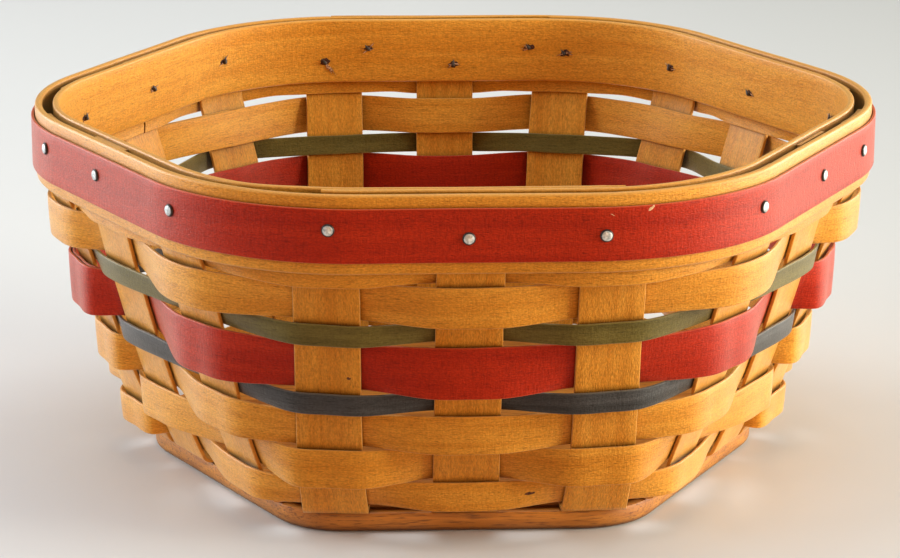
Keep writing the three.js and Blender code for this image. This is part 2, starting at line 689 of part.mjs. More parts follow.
const basket = new THREE.Group();
basket.add(namedMesh('base_board', boardGeometry(), BOARD_WOOD));
for (let number = 0; number < UPRIGHT_COUNT; number++) {
  const geometry = cutAway(uprightGeometry(number), [holes[number]]);
  basket.add(namedMesh(`upright_${sideAndNumber(number)}`, geometry, NATURAL));
}
for (const row of ROWS) {
  const geometry = isPinched(row) ? cutAway(rowGeometry(row), holes) : rowGeometry(row);
  basket.add(namedMesh(row.name, geometry, row.finish));
}
const outerBand = skivedHoop(0, OUTER_BAND_THICK, OUTER_LAP_LENGTH, SKIVED_EDGE, RIM_BOTTOM, RIM_TOP);
basket.add(namedMesh('outer_rim_band', cutAway(outerBand, holes), NATURAL));
basket.add(namedMesh('inner_rim_band', cutAway(innerBandGeometry(), holes), NATURAL));
const trimInset = -(TRIM_GAP + TRIM_THICK);
const trim = skivedHoop(trimInset, TRIM_THICK, TRIM_LAP_LENGTH, SKIVED_TRIM_EDGE, TRIM_BOTTOM, TRIM_TOP);
basket.add(namedMesh('red_rim_trim', cutAway(trim, holes), RED));
for (const place of places) {
  basket.add(namedMesh(place.name, tackGeometry(place), STEEL));
}

export default basket;
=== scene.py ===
"""Dressed model of a hexagonal woven splint basket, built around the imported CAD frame.

Every strip of wood is swept again at full detail along the same curves as its CAD solid,
with eased edges, a slight cup and the wander of hand work, and gets a wood finish whose
grain follows the strip. Lengths in this file are millimetres unless a name says otherwise.
"""
from __future__ import annotations

import logging
import math
from dataclasses import dataclass
from enum import Enum
from typing import Any, NamedTuple, Sequence

import bpy
import numpy as np
from mathutils import Matrix, Vector, noise

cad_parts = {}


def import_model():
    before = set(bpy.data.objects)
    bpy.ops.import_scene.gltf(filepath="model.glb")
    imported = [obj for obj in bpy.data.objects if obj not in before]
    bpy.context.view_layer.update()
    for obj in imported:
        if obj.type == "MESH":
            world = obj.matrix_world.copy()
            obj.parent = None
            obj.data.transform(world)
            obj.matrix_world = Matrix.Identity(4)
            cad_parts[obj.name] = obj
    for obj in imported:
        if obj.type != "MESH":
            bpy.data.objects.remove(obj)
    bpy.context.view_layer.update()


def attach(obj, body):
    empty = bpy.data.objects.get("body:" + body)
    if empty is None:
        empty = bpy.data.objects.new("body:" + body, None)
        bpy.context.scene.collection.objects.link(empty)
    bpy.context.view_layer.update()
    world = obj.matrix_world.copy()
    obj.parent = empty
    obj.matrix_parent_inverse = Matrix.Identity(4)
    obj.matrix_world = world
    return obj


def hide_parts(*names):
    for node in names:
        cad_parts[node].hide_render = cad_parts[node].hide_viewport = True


LOG = logging.getLogger("basket")
METRES = 0.001
BODY = "root"
UP = np.array([0.0, 0.0, 1.0])
SMOOTH_ANGLE = math.radians(38)
GRAIN_ATTRIBUTE = "grain"
EDGE_ATTRIBUTE = "edge"
# How far apart two seeds lie in the noise, and two pieces in the wood.
SEED_APART = (7.31, 1.7)
PIECE_APART = (431.0, 57.0)
# The height of x(1-x)^2 is 4/27, so this makes such a curve one unit high.
UNIT_CURVE = 27 / 4

Points = np.ndarray
Number = float | np.ndarray
Piece = bpy.types.Object
Material = bpy.types.Material
Point = tuple[float, float, float]
Level = tuple[float, float]


class Slot(str, Enum):
    """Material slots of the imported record."""

    NATURAL = "splint_natural"
    RED = "splint_red"
    GREEN = "splint_green"
    BLUE = "splint_blue"
    BOARD = "board"
    STEEL = "tack_steel"


# Small helpers for numbers and noise


def unit(vector: Points) -> Points:
    """Return the vector, or each vector of an array, at length one."""
    return vector / np.linalg.norm(vector, axis=-1, keepdims=True)


def smoothstep(value: Number, low: float, high: float) -> Number:
    """Return the smooth share of the way from low to high, held between 0 and 1."""
    share = np.clip((value - low) / (high - low), 0.0, 1.0)
    return share * share * (3 - 2 * share)


def lerp(start: float, end: float, share: Number) -> Number:
    """Return the value at a share of the way from start to end."""
    return start + (end - start) * share


def wander(along: float, wave: float, seed: float) -> float:
    """Return smooth repeatable noise between about -1 and 1, its crests about a wave apart."""
    return noise.noise(Vector((along / wave, seed * SEED_APART[0], seed * SEED_APART[1])))


@dataclass(frozen=True)
class Waver:
    """How the two edges of a strip stray from true, as they do in hand work."""

    depth: float
    wave: float
    seeds: tuple[int, int]

    def at(self, along: float, seed: int) -> tuple[float, float]:
        """Return how far the first and the second edge stray at a length along the strip."""
        first, second = (wander(along, self.wave, seed + edge) * self.depth for edge in self.seeds)
        return first, second


# Plan curves and the wall that they make


class Place(NamedTuple):
    """A point of a plan curve with its outward and forward directions."""

    point: Points
    normal: Points
    tangent: Points


@dataclass(frozen=True)
class RoundedHexagon:
    """A hexagon with rounded corners, followed by length from the middle of the front."""

    apothem: float
    corner: float

    @property
    def flat(self) -> float:
        """Half the straight length of one side."""
        return self.apothem / math.sqrt(3) - self.corner * math.tan(math.pi / 6)

    @property
    def side(self) -> float:
        """Length of one side with one corner."""
        return 2 * self.flat + self.corner * math.pi / 3

    @property
    def girth(self) -> float:
        """Whole length of the curve."""
        return 6 * self.side

    def at(self, length: float) -> Place:
        """Return the place at a length, counter-clockwise seen from above.

        Args:
            length: Length along the curve from the middle of the front.

        Returns:
            The place, at height 0.
        """
        along = length + self.flat
        index = math.floor(along / self.side)
        rest = along - index * self.side
        turn = max(0.0, rest - 2 * self.flat) / self.corner
        heading = -math.pi / 2 + index * math.pi / 3
        facing = np.array([math.cos(heading), math.sin(heading), 0.0])
        running = np.array([-facing[1], facing[0], 0.0])
        normal = np.array([math.cos(heading + turn), math.sin(heading + turn), 0.0])
        point = facing * (self.apothem - self.corner)
        point = point + running * min(rest - self.flat, self.flat) + normal * self.corner
        return Place(point, normal, np.array([-normal[1], normal[0], 0.0]))


@dataclass(frozen=True)
class Row:
    """One woven row. Odd rows pass outside the odd uprights, even rows the even ones."""

    name: str
    slot: Slot
    width: float
    gap: float
    outside_odd: bool
    start: int
    side_rise: float
    back_rise: float
    pinched: bool = False

    def passes_outside(self, number: int) -> bool:
        """Tell whether the row passes outside an upright."""
        return (number % 2 == 1) == self.outside_odd


ROWS = (
    Row("weaver_7_natural", Slot.NATURAL, 11.2, 4.0, True, 10, 1.4, -0.7),
    Row("weaver_6_natural", Slot.NATURAL, 14.6, 0.7, False, 13, 2.8, 1.6),
    Row("weaver_5_natural", Slot.NATURAL, 14.6, 0.7, True, 8, 3.7, 1.9),
    Row("weaver_4_blue", Slot.BLUE, 8.0, 1.5, False, 11, 3.8, 1.7),
    Row("weaver_3_red", Slot.RED, 19.3, 1.5, True, 14, 3.0, 1.0),
    Row("weaver_2_green", Slot.GREEN, 8.0, 1.5, False, 13, 2.2, 0.4),
    Row("weaver_1_natural", Slot.NATURAL, 15.0, 1.5, True, 12, 1.5, -0.2),
    Row("weaver_0_natural", Slot.NATURAL, 15.0, 0.7, False, 13, 1.3, 1.2, True),
)


class UprightPlace(NamedTuple):
    """Place of one upright in eighteenths of the girth, and its tack's offset."""

    foot: float
    rim: float
    tack_aside: float
    tack_up: float


# One side of three uprights on each line.
UPRIGHTS = [UprightPlace(*numbers) for numbers in (
    (-1.17, -0.93, 1.3, 2.2), (-0.01, -0.01, -0.9, -0.9), (1.15, 0.9, -3.5, -0.3),
    (2.1, 2.1, -2.7, 1.2), (3.42, 3.11, -4.1, 0.5), (4.08, 3.86, -4.9, 0.9),
    (4.9, 4.93, -2.7, -0.9), (5.9, 6.08, -6.8, -2.2), (7.12, 6.96, 0.3, -2.0),
    (7.94, 8.04, -2.4, -0.7), (8.97, 8.96, -3.4, -5.5), (10.06, 9.82, 5.1, -4.2),
    (10.8, 10.9, 0.4, 1.1), (12.2, 11.92, -1.9, -0.5), (13.05, 12.86, -2.3, -1.8),
    (13.92, 14.1, 2.7, 3.0), (14.6, 14.89, 1.4, 2.0), (15.88, 15.91, 0.9, 1.4),
)]
COUNT = len(UPRIGHTS)
SIDE_NAMES = ("front", "right_front", "right_back", "back", "left_back", "left_front")


def side_and_number(number: int) -> str:
    """Return the side's name and the upright's number on it, as the CAD nodes have them."""
    return f"{SIDE_NAMES[number // 3]}_{number % 3 + 1}"


@dataclass(frozen=True)
class Wall:
    """Sizes of the splint stock, the rim and the leaning wall, and the curves they give."""

    upright_width: float = 23.8
    upright_thick: float = 1.5
    weaver_thick: float = 1.1
    weave_gap: float = 0.4
    rim_apothem: float = 149.1
    rim_corner: float = 82.0
    rim_gap: float = 0.45
    outer_thick: float = 2.8
    inner_thick: float = 2.4
    outer_height: float = 28.6
    inner_height: float = 27.2
    foot_apothem: float = 107.4
    foot_corner: float = 30.0
    foot_level: float = 8.75
    bow: float = 1.9
    corner_swell: float = 16.0
    rim_space: float = 4.2
    plumb: float = 1.5
    hold_ramp: float = 18.0
    lean_span: float = 0.5
    tack_rise: float = 14.3

    @property
    def weaver_step(self) -> float:
        """Distance between the middles of an upright and of a row that passes it."""
        return self.upright_thick / 2 + self.weave_gap + self.weaver_thick / 2

    @property
    def upright_shift(self) -> float:
        """How far an upright steps in or out beside the top row."""
        return (self.weaver_thick + self.rim_gap) / 2

    @property
    def rim_inset(self) -> float:
        """Depth of the wall's middle surface behind the rim's outline."""
        return self.outer_thick + self.rim_gap + self.upright_shift + self.upright_thick / 2

    @property
    def inner_inset(self) -> float:
        """Depth of the inner band's outer face behind the rim's outline."""
        return self.outer_thick + 3 * self.rim_gap + self.weaver_thick + self.upright_thick

    @property
    def spread(self) -> float:
        """How far the wall leans out between its foot and the rim."""
        return self.rim_apothem - self.rim_inset - self.foot_apothem

    @property
    def length(self) -> float:
        """Length of the wall along its slope, of which the rows below the top one take most."""
        return sum(row.gap + row.width for row in ROWS[:-1]) + self.rim_space

    @property
    def rise(self) -> float:
        """Height of the leaning wall."""
        return math.sqrt(self.length**2 - self.spread**2)

    @property
    def top(self) -> float:
        """Height at which the uprights turn plumb."""
        return self.foot_level + self.rise

    @property
    def rim_bottom(self) -> float:
        """Height of the outer band's lower edge."""
        return self.top + self.plumb

    @property
    def rim_top(self) -> float:
        """Height of the basket."""
        return self.rim_bottom + self.outer_height

    @property
    def tack_height(self) -> float:
        """Height at which the tacks are driven, before their own offsets."""
        return self.rim_bottom + self.tack_rise

    @property
    def rim(self) -> RoundedHexagon:
        """Outline of the outer band's outer face."""
        return RoundedHexagon(self.rim_apothem, self.rim_corner)

    def share(self, z: float) -> float:
        """Return how far up the leaning wall a height lies, from 0 to 1."""
        return min(max((z - self.foot_level) / self.rise, 0.0), 1.0)

    def apothem(self, z: float) -> float:
        """Return the apothem of the wall's middle surface at a height."""
        share = self.share(z)
        return self.foot_apothem + self.spread * share + UNIT_CURVE * self.bow * share * (1 - share) ** 2

    def outline(self, z: float) -> RoundedHexagon:
        """Return the outline of the wall's middle surface at a height.

        Args:
            z: Height.

        Returns:
            The outline, whose corners swell between the foot and the rim.
        """
        share = self.share(z)
        corner = lerp(self.foot_corner, self.rim_corner - self.rim_inset, share)
        corner += UNIT_CURVE * self.corner_swell * share**2 * (1 - share)
        return RoundedHexagon(self.apothem(z), corner)

    def lean(self, z: float) -> float:
        """Return the wall's lean from the vertical at a height, in radians."""
        change = self.apothem(z + self.lean_span) - self.apothem(z - self.lean_span)
        return math.atan(change / (2 * self.lean_span))

    def upright_place(self, number: int, z: float) -> float:
        """Return an upright's place as a share of the girth, going round past the last one.

        Args:
            number: Number of the upright, which goes on counting past the last one.
            z: Height.

        Returns:
            The share of the girth, above 1 on the second round.
        """
        at = UPRIGHTS[number % COUNT]
        span = self.tack_height - self.foot_level
        share = min(max((z - self.foot_level) / span, 0.0), 1.0)
        return number // COUNT + lerp(at.foot, at.rim, share) / COUNT

    def upright_point(self, number: int, across: float, z: float) -> tuple[Points, Points]:
        """Return a point of an upright's middle surface and its outward direction.

        Args:
            number: Number of the upright.
            across: Distance from the upright's middle line.
            z: Height.

        Returns:
            The point and the level outward direction there.
        """
        outline = self.outline(z)
        length = self.upright_place(number, z) * outline.girth
        middle = outline.at(length)
        curved = outline.at(length + across)
        hold = smoothstep(z, self.top - self.hold_ramp, self.top)
        flat_point = middle.point + middle.tangent * across
        point = flat_point + (curved.point - flat_point) * hold
        normal = unit(middle.normal + (curved.normal - middle.normal) * hold)
        side = -1 if ROWS[-1].passes_outside(number) else 1
        point = point + normal * (side * self.upright_shift * hold)
        point[2] = z
        return point, normal

    def stack(self, row: Row) -> tuple[float, float]:
        """Return a row's lower and upper height at the front.

        Args:
            row: The row.

        Returns:
            The two heights.
        """
        below = ROWS[: ROWS.index(row)]
        along = sum(lower.gap + lower.width for lower in below) + row.gap
        scale = self.rise / self.length
        return self.foot_level + along * scale, self.foot_level + (along + row.width) * scale

    def edges(self, row: Row, place: float) -> tuple[float, float]:
        """Return a row's lower and upper height at a share of the girth.

        Args:
            row: The row.
            place: Share of the girth.

        Returns:
            The heights of its lower and upper edge, raised at the sides and the back.
        """
        bottom, top = self.stack(row)
        angle = 2 * math.pi * place
        back = max(0.0, -math.cos(angle))
        rise = row.side_rise * math.sin(angle) ** 2 + row.back_rise * back**2
        return bottom + rise, top + rise


# Meshes

# A strip's eased edges take at most these shares of half its thickness and half its width.
EASE_OF_THICKNESS = 0.96
EASE_OF_WIDTH = 0.5
EASE_ANGLES = (math.radians(30), math.radians(60))


def strip_section(half_width: float, half_thick: float, ease: float, across: int = 6) -> Points:
    """Return the points of a strip's cross-section with eased edges.

    Args:
        half_width: Half the strip's width.
        half_thick: Half its thickness.
        ease: Radius of the eased edges.
        across: Number of steps over each face.

    Returns:
        Rows of (across, through), anticlockwise from the outer face.
    """
    radius = min(ease, half_thick * EASE_OF_THICKNESS, half_width * EASE_OF_WIDTH)
    flat, side = half_width - radius, half_thick - radius
    faces = np.linspace(-flat, flat, across + 1)
    outer = [(u, half_thick) for u in faces]
    corner = [(flat + radius * math.sin(a), side + radius * math.cos(a)) for a in EASE_ANGLES]
    right = [*corner, (half_width, side), (half_width, -side), *[(u, -v) for u, v in reversed(corner)]]
    inner = [(u, -half_thick) for u in reversed(faces)]
    left = [(-u, -v) for u, v in right]
    return np.array(outer + right + inner + left)


def mesh_object(name: str, vertices: Points, faces: Sequence[Sequence[int]], grain: Points) -> Piece:
    """Make an object from points in millimetres.

    Args:
        name: Name of the piece.
        vertices: Points in millimetres.
        faces: Vertex numbers of each face.
        grain: For each point, its place along, across and through the wood and how much it
            lies on a cut edge or a worn rim, from 0 to 1.

    Returns:
        The new object, in metres, smooth but for its sharp edges.
    """
    mesh = bpy.data.meshes.new(name)
    mesh.from_pydata((vertices * METRES).tolist(), [], [list(face) for face in faces])
    mesh.validate()
    values = np.asarray(grain, np.float32)
    place = mesh.attributes.new(GRAIN_ATTRIBUTE, "FLOAT_VECTOR", "POINT")
    place.data.foreach_set("vector", values[:, :3].ravel())
    edge = mesh.attributes.new(EDGE_ATTRIBUTE, "FLOAT", "POINT")
    edge.data.foreach_set("value", values[:, 3].ravel())
    mesh.polygons.foreach_set("use_smooth", [True] * len(mesh.polygons))
    mesh.set_sharp_from_angle(angle=SMOOTH_ANGLE)
    piece = bpy.data.objects.new(name, mesh)
    bpy.context.scene.collection.objects.link(piece)
    return piece


def loft(rings: Points) -> list[tuple[int, ...]]:
    """Return the faces of a closed loft through rings of points, with flat ends.

    Args:
        rings: Array of rings by points by coordinates.

    Returns:
        Faces that point outward.
    """
    count, width = rings.shape[:2]
    faces: list[tuple[int, ...]] = []
    for i in range(count - 1):
        for j in range(width):
            k = (j + 1) % width
            faces.append((i * width + j, i * width + k, (i + 1) * width + k, (i + 1) * width + j))
    faces.append(tuple(reversed(range(width))))
    faces.append(tuple(range((count - 1) * width, count * width)))
    ring = rings[count // 2]
    turning = np.cross(ring - ring.mean(0), np.roll(ring, -1, 0) - ring.mean(0)).sum(0)
    travel = rings[count // 2 + 1].mean(0) - rings[count // 2 - 1].mean(0)
    return faces if np.dot(turning, travel) > 0 else [tuple(reversed(face)) for face in faces]


def grain_points(along: float, across: Points, through: Points, seed: int) -> Points:
    """Return one ring's places in the wood, set apart from those of every other piece.

    The last column is 1 on the eased corners and the cut edges.

    Args:
        along: Length along the piece.
        across: Places across it.
        through: Places through it.
        seed: Number that tells one piece from another.

    Returns:
        One place per point of the ring.
    """
    on_face = np.isclose(np.abs(through), np.abs(through).max())
    start = np.full_like(across, along + PIECE_APART[0] * seed)
    return np.stack([start, across + PIECE_APART[1] * seed, through, np.where(on_face, 0.0, 1.0)], axis=1)


def swept(name: str, rings: Sequence[Points], grains: Sequence[Points]) -> Piece:
    """Make an object from rings of points and their places in the wood."""
    return mesh_object(name, np.concatenate(rings), loft(np.array(rings)), np.concatenate(grains))


def with_edge(points: Points, edge: float | Points = 0.0) -> Points:
    """Return the points themselves as places in the wood, with how worn each one is."""
    return np.column_stack([points, np.broadcast_to(edge, len(points))])


def merged(name: str, bodies: Sequence[Points], edge: float | Points = 0.0) -> Piece:
    """Make one object from several lofted bodies.

    Args:
        name: Name of the piece.
        bodies: Rings of each body.
        edge: How worn each point is, or all of them.

    Returns:
        The new object.
    """
    points, faces = [], []
    count = 0
    for rings in bodies:
        faces += [tuple(count + index for index in face) for face in loft(rings)]
        points.append(rings.reshape(-1, 3))
        count += len(points[-1])
    together = np.concatenate(points)
    return mesh_object(name, together, faces, with_edge(together, edge))


def patch(centre: Points, axes: Sequence[Points], levels: Sequence[Level], wobble: Points) -> Points:
    """Return the rings of a thin round patch with a wavy outline.

    Args:
        centre: Its middle.
        axes: Its half extent one way and the other, and its lift, as vectors.
        levels: For each ring its share of the extents and of the lift.
        wobble: How far out each point of a ring lies, where 1 is true.

    Returns:
        The rings, from the sunk one to the top.
    """
    along, across, lift = axes
    angles = np.linspace(0, 2 * math.pi, len(wobble), endpoint=False)
    spread = (np.cos(angles)[:, None] * along + np.sin(angles)[:, None] * across) * wobble[:, None]
    return np.array([centre + spread * share + lift * height for share, height in levels])


def bent(three: Sequence[Points], share: Points) -> Points:
    """Return the parabola through three vectors at shares from -1 to 1.

    Args:
        three: The vectors at -1, 0 and 1.
        share: The shares.

    Returns:
        One vector for each share.
    """
    left, middle, right = three
    share = share[:, None]
    return middle + (right - left) / 2 * share + ((right + left) / 2 - middle) * share**2


def dress(piece: Piece, material: Material, slot: Slot, *nodes: str) -> None:
    """Give a piece its material and its place in the frame.

    Args:
        piece: The new piece.
        material: Its material.
        slot: The record's material slot; not used.
        nodes: CAD nodes that the piece stands for.
    """
    piece.data.materials.append(material)
    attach(piece, BODY)
    if nodes:
        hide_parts(*nodes)
    LOG.info("%s: %d points", piece.name, len(piece.data.vertices))


def catmull_rom(points: Points, steps: Sequence[int]) -> tuple[Points, Points]:
    """Follow the smooth curve through points that the CAD rows follow.

    Args:
        points: Control points.
        steps: Number of steps from each control point to the next.

    Returns:
        Points of the curve and its directions.
    """
    padded = np.vstack([2 * points[0] - points[1], points, 2 * points[-1] - points[-2]])
    places: list[Points] = []
    ways: list[Points] = []
    for i in range(len(points) - 1):
        p0, p1, p2, p3 = padded[i : i + 4]
        d0, d1, d2 = (math.sqrt(np.linalg.norm(b - a)) for a, b in ((p0, p1), (p1, p2), (p2, p3)))
        t1 = ((p1 - p0) / d0 - (p2 - p0) / (d0 + d1) + (p2 - p1) / d1) * d1
        t2 = ((p2 - p1) / d1 - (p3 - p1) / (d1 + d2) + (p3 - p2) / d2) * d1
        c2 = -3 * p1 + 3 * p2 - 2 * t1 - t2
        c3 = 2 * p1 - 2 * p2 + t1 + t2
        final = i == len(points) - 2
        for share in np.linspace(0, 1, steps[i] + 1)[: None if final else -1]:
            places.append(p1 + t1 * share + c2 * share**2 + c3 * share**3)
            ways.append(t1 + 2 * c2 * share + 3 * c3 * share**2)
    return np.array(places), unit(np.array(ways))


@dataclass
class Uprights:
    """Eighteen flat splints that stand in the board's groove and end inside the rim."""

    wall: Wall
    bend_radius: float = 3.4
    top_drop: float = 1.6
    foot_reach: float = 99.3
    ease: float = 0.4
    bend_steps: int = 8
    wall_step: float = 2.2
    top_steps: int = 8
    under_top: float = 1.0
    waver: Waver = Waver(0.18, 17.0, (40, 80))

    @property
    def bend_end(self) -> float:
        """Angle that the foot's bend turns through, in radians."""
        return math.pi / 2 - self.wall.lean(self.wall.foot_level + self.bend_radius)

    def bend_height(self, angle: float) -> float:
        """Return the height of the foot's bend where it has turned through an angle."""
        return self.wall.foot_level + self.bend_radius * (1 - math.cos(angle))

    def stations(self) -> list[tuple[float, float, float]]:
        """Return height, inset and angle along an upright from its foot up.

        Returns:
            Places along the foot's flat, its bend, the leaning wall and the plumb top.
        """
        wall, end = self.wall, self.bend_end
        start = self.bend_height(end)
        stations = [(wall.foot_level, wall.apothem(start) - self.foot_reach, 0.0)]
        for i in range(self.bend_steps):
            angle = end * i / self.bend_steps
            inset = self.bend_radius * (math.sin(end) - math.sin(angle))
            stations.append((self.bend_height(angle), inset, angle))
        steps = round((wall.top - start) / self.wall_step)
        for i in range(steps):
            z = lerp(start, wall.top, i / steps)
            stations.append((z, 0.0, math.pi / 2 - wall.lean(z)))
        turning = wall.lean(wall.top - self.under_top) / 2
        for i in range(self.top_steps + 1):
            z = lerp(wall.top, wall.rim_top - self.top_drop, i / self.top_steps)
            stations.append((z, 0.0, math.pi / 2 - (turning if i == 0 else 0.0)))
        return stations

    def build(self, number: int) -> Piece:
        """Sweep one upright.

        Args:
            number: Number of the upright.

        Returns:
            The new object.
        """
        wall = self.wall
        half = wall.upright_width / 2
        start = self.bend_height(self.bend_end)
        across, through = strip_section(half, wall.upright_thick / 2, self.ease).T
        rings, grains = [], []
        along = 0.0
        for z, inset, angle in self.stations():
            places, normals = [], []
            for u in (-half, 0.0, half):
                point, normal = wall.upright_point(number, u, max(z, start))
                point = point - normal * inset
                point[2] = z
                places.append(point)
                normals.append(normal)
            left, right = self.waver.at(along, number)
            share = across / half
            share = share + np.where(share > 0, right, left) * np.abs(share) / half
            out = unit(bent(normals, share)) * math.sin(angle) - UP * math.cos(angle)
            ring = bent(places, share) + out * through[:, None]
            along += float(np.linalg.norm(ring.mean(0) - rings[-1].mean(0))) if rings else 0.0
            rings.append(ring)
            grains.append(grain_points(along, across, through, number + 1))
        return swept(f"upright_{side_and_number(number)}_splint", rings, grains)


@dataclass
class WovenRows:
    """Eight rows woven round the uprights."""

    wall: Wall
    edge_clearance: float = 0.6
    outside_bulge: float = 0.8
    inside_bulge: float = 0.5
    bottom_draw: float = 1.0
    end_overrun: float = 2.0
    butt_gap: float = 1.0
    ease: float = 0.38
    passing_steps: int = 6
    gap_steps: int = 14
    cup: float = 0.16
    first_seed: int = 20
    lapped_uprights: int = 2
    waver: Waver = Waver(0.2, 23.0, (120, 160))

    @property
    def half(self) -> float:
        """Half the width at which a row clears an upright."""
        return self.wall.upright_width / 2 + self.edge_clearance

    def layer(self, row: Row, number: int) -> int:
        """Return 1 where the row's second layer passes inside its first, else 0."""
        step = number - row.start
        return 1 if not row.pinched and step in (1, COUNT, COUNT + self.lapped_uprights) else 0

    def passing(self, row: Row, number: int, across: float) -> tuple[Points, Points]:
        """Return the upper and lower control point of a row where it passes an upright.

        Args:
            row: The row.
            number: Number of the upright.
            across: Distance from the upright's middle line.

        Returns:
            The point on the upper edge and the one on the lower edge.
        """
        wall = self.wall
        step = wall.weaver_step + self.layer(row, number) * (wall.weaver_thick + wall.weave_gap)
        bottom, top = wall.edges(row, wall.upright_place(number, wall.stack(row)[1]))
        bulge = 0.0 if row.pinched else 1 - abs(across) / self.half
        upper, normal = wall.upright_point(number, across, top)
        if row.passes_outside(number):
            upper = upper + normal * (step / math.cos(wall.lean(top)) + self.outside_bulge * bulge)
            lower = upper - normal * (0.0 if row.pinched else self.bottom_draw)
            lower[2] = top - row.width
            return upper, lower
        lower, lower_normal = wall.upright_point(number, across, bottom)
        upper = upper - normal * (step / math.cos(wall.lean(top)) + self.inside_bulge * bulge)
        lower = lower - lower_normal * (step / math.cos(wall.lean(bottom)) + self.inside_bulge * bulge)
        return upper, lower

    def halfway(self, row: Row, number: int) -> tuple[Points, Points]:
        """Return the pinched row's control points halfway to the next upright.

        Args:
            row: The row.
            number: Number of the upright.

        Returns:
            The point on the upper edge and the one on the lower edge.
        """
        wall = self.wall
        top = wall.stack(row)[1]
        outline = wall.outline(top)
        place = (wall.upright_place(number, top) + wall.upright_place(number + 1, top)) / 2
        point = outline.at(place * outline.girth).point
        lower_z, upper_z = wall.edges(row, place)
        return point + UP * upper_z, point + UP * lower_z

    def path(self, row: Row) -> tuple[Points, Points, list[int]]:
        """Return a row's control points and the steps between them.

        Args:
            row: The row.

        Returns:
            Upper points, lower points and the number of steps after each point.
        """
        half = self.half
        overrun = -self.butt_gap / 2 if row.pinched else self.end_overrun
        last = row.start + COUNT + (0 if row.pinched else self.lapped_uprights)
        pairs: list[tuple[Points, Points]] = []
        steps: list[int] = []
        for number in range(row.start, last + 1):
            acrosses = [-half, 0.0, half]
            if number == row.start:
                acrosses = [-overrun, half]
            if number == last:
                acrosses = [-half, overrun]
            for across in acrosses:
                pairs.append(self.passing(row, number, across))
                steps.append(self.gap_steps if across == half else self.passing_steps)
            if row.pinched and number < last:
                pairs.append(self.halfway(row, number))
                steps.append(self.gap_steps // 2)
        uppers, lowers = zip(*pairs)
        return np.array(uppers), np.array(lowers), steps

    def knee(self, ring: Points, top: Points, foot: Points) -> Points:
        """Return the shifts that turn the pinched row plumb where the wall turns plumb.

        Args:
            ring: Points of the straight row's cross-section.
            top: Middle of the upper edge.
            foot: Middle of the lower edge.

        Returns:
            One level shift for each point.
        """
        level = ring[:, 2] - foot[2]
        plumb = np.clip(level / (self.wall.top - foot[2]), 0.0, 1.0)
        return (plumb - level / (top[2] - foot[2]))[:, None] * ((top - foot) * (1, 1, 0))

    def build(self, row: Row) -> Piece:
        """Sweep one row.

        Args:
            row: The row.

        Returns:
            The new object.
        """
        uppers, lowers, steps = self.path(row)
        top, ways = catmull_rom(uppers, steps)
        foot, _ = catmull_rom(lowers, steps)
        rise = unit(top - foot)
        out = unit(np.cross(ways, rise))
        middle = (top + foot) / 2
        lengths = np.concatenate([[0.0], np.cumsum(np.linalg.norm(np.diff(middle, axis=0), axis=1))])
        seed = ROWS.index(row) + 1
        rings, grains = [], []
        for i, along in enumerate(lengths):
            half_width = float(np.linalg.norm(top[i] - foot[i])) / 2
            across, through = strip_section(half_width, self.wall.weaver_thick / 2, self.ease).T
            share = across / half_width
            low, high = self.waver.at(along, seed)
            edge = np.where(share > 0, high, -low) * np.abs(share)
            cup = self.cup * (1 - share**2)
            ring = middle[i] + rise[i] * (across + edge)[:, None] + out[i] * (through + cup)[:, None]
            rings.append(ring + self.knee(ring, top[i], foot[i]) if row.pinched else ring)
            grains.append(grain_points(along, across, through, self.first_seed + seed))
        return swept(f"{row.name}_splint", rings, grains)


class Strip(NamedTuple):
    """A strip that is bent round the rim, and its number in the noise and in the wood."""

    name: str
    bottom: float
    top: float
    ease: float
    seed: int


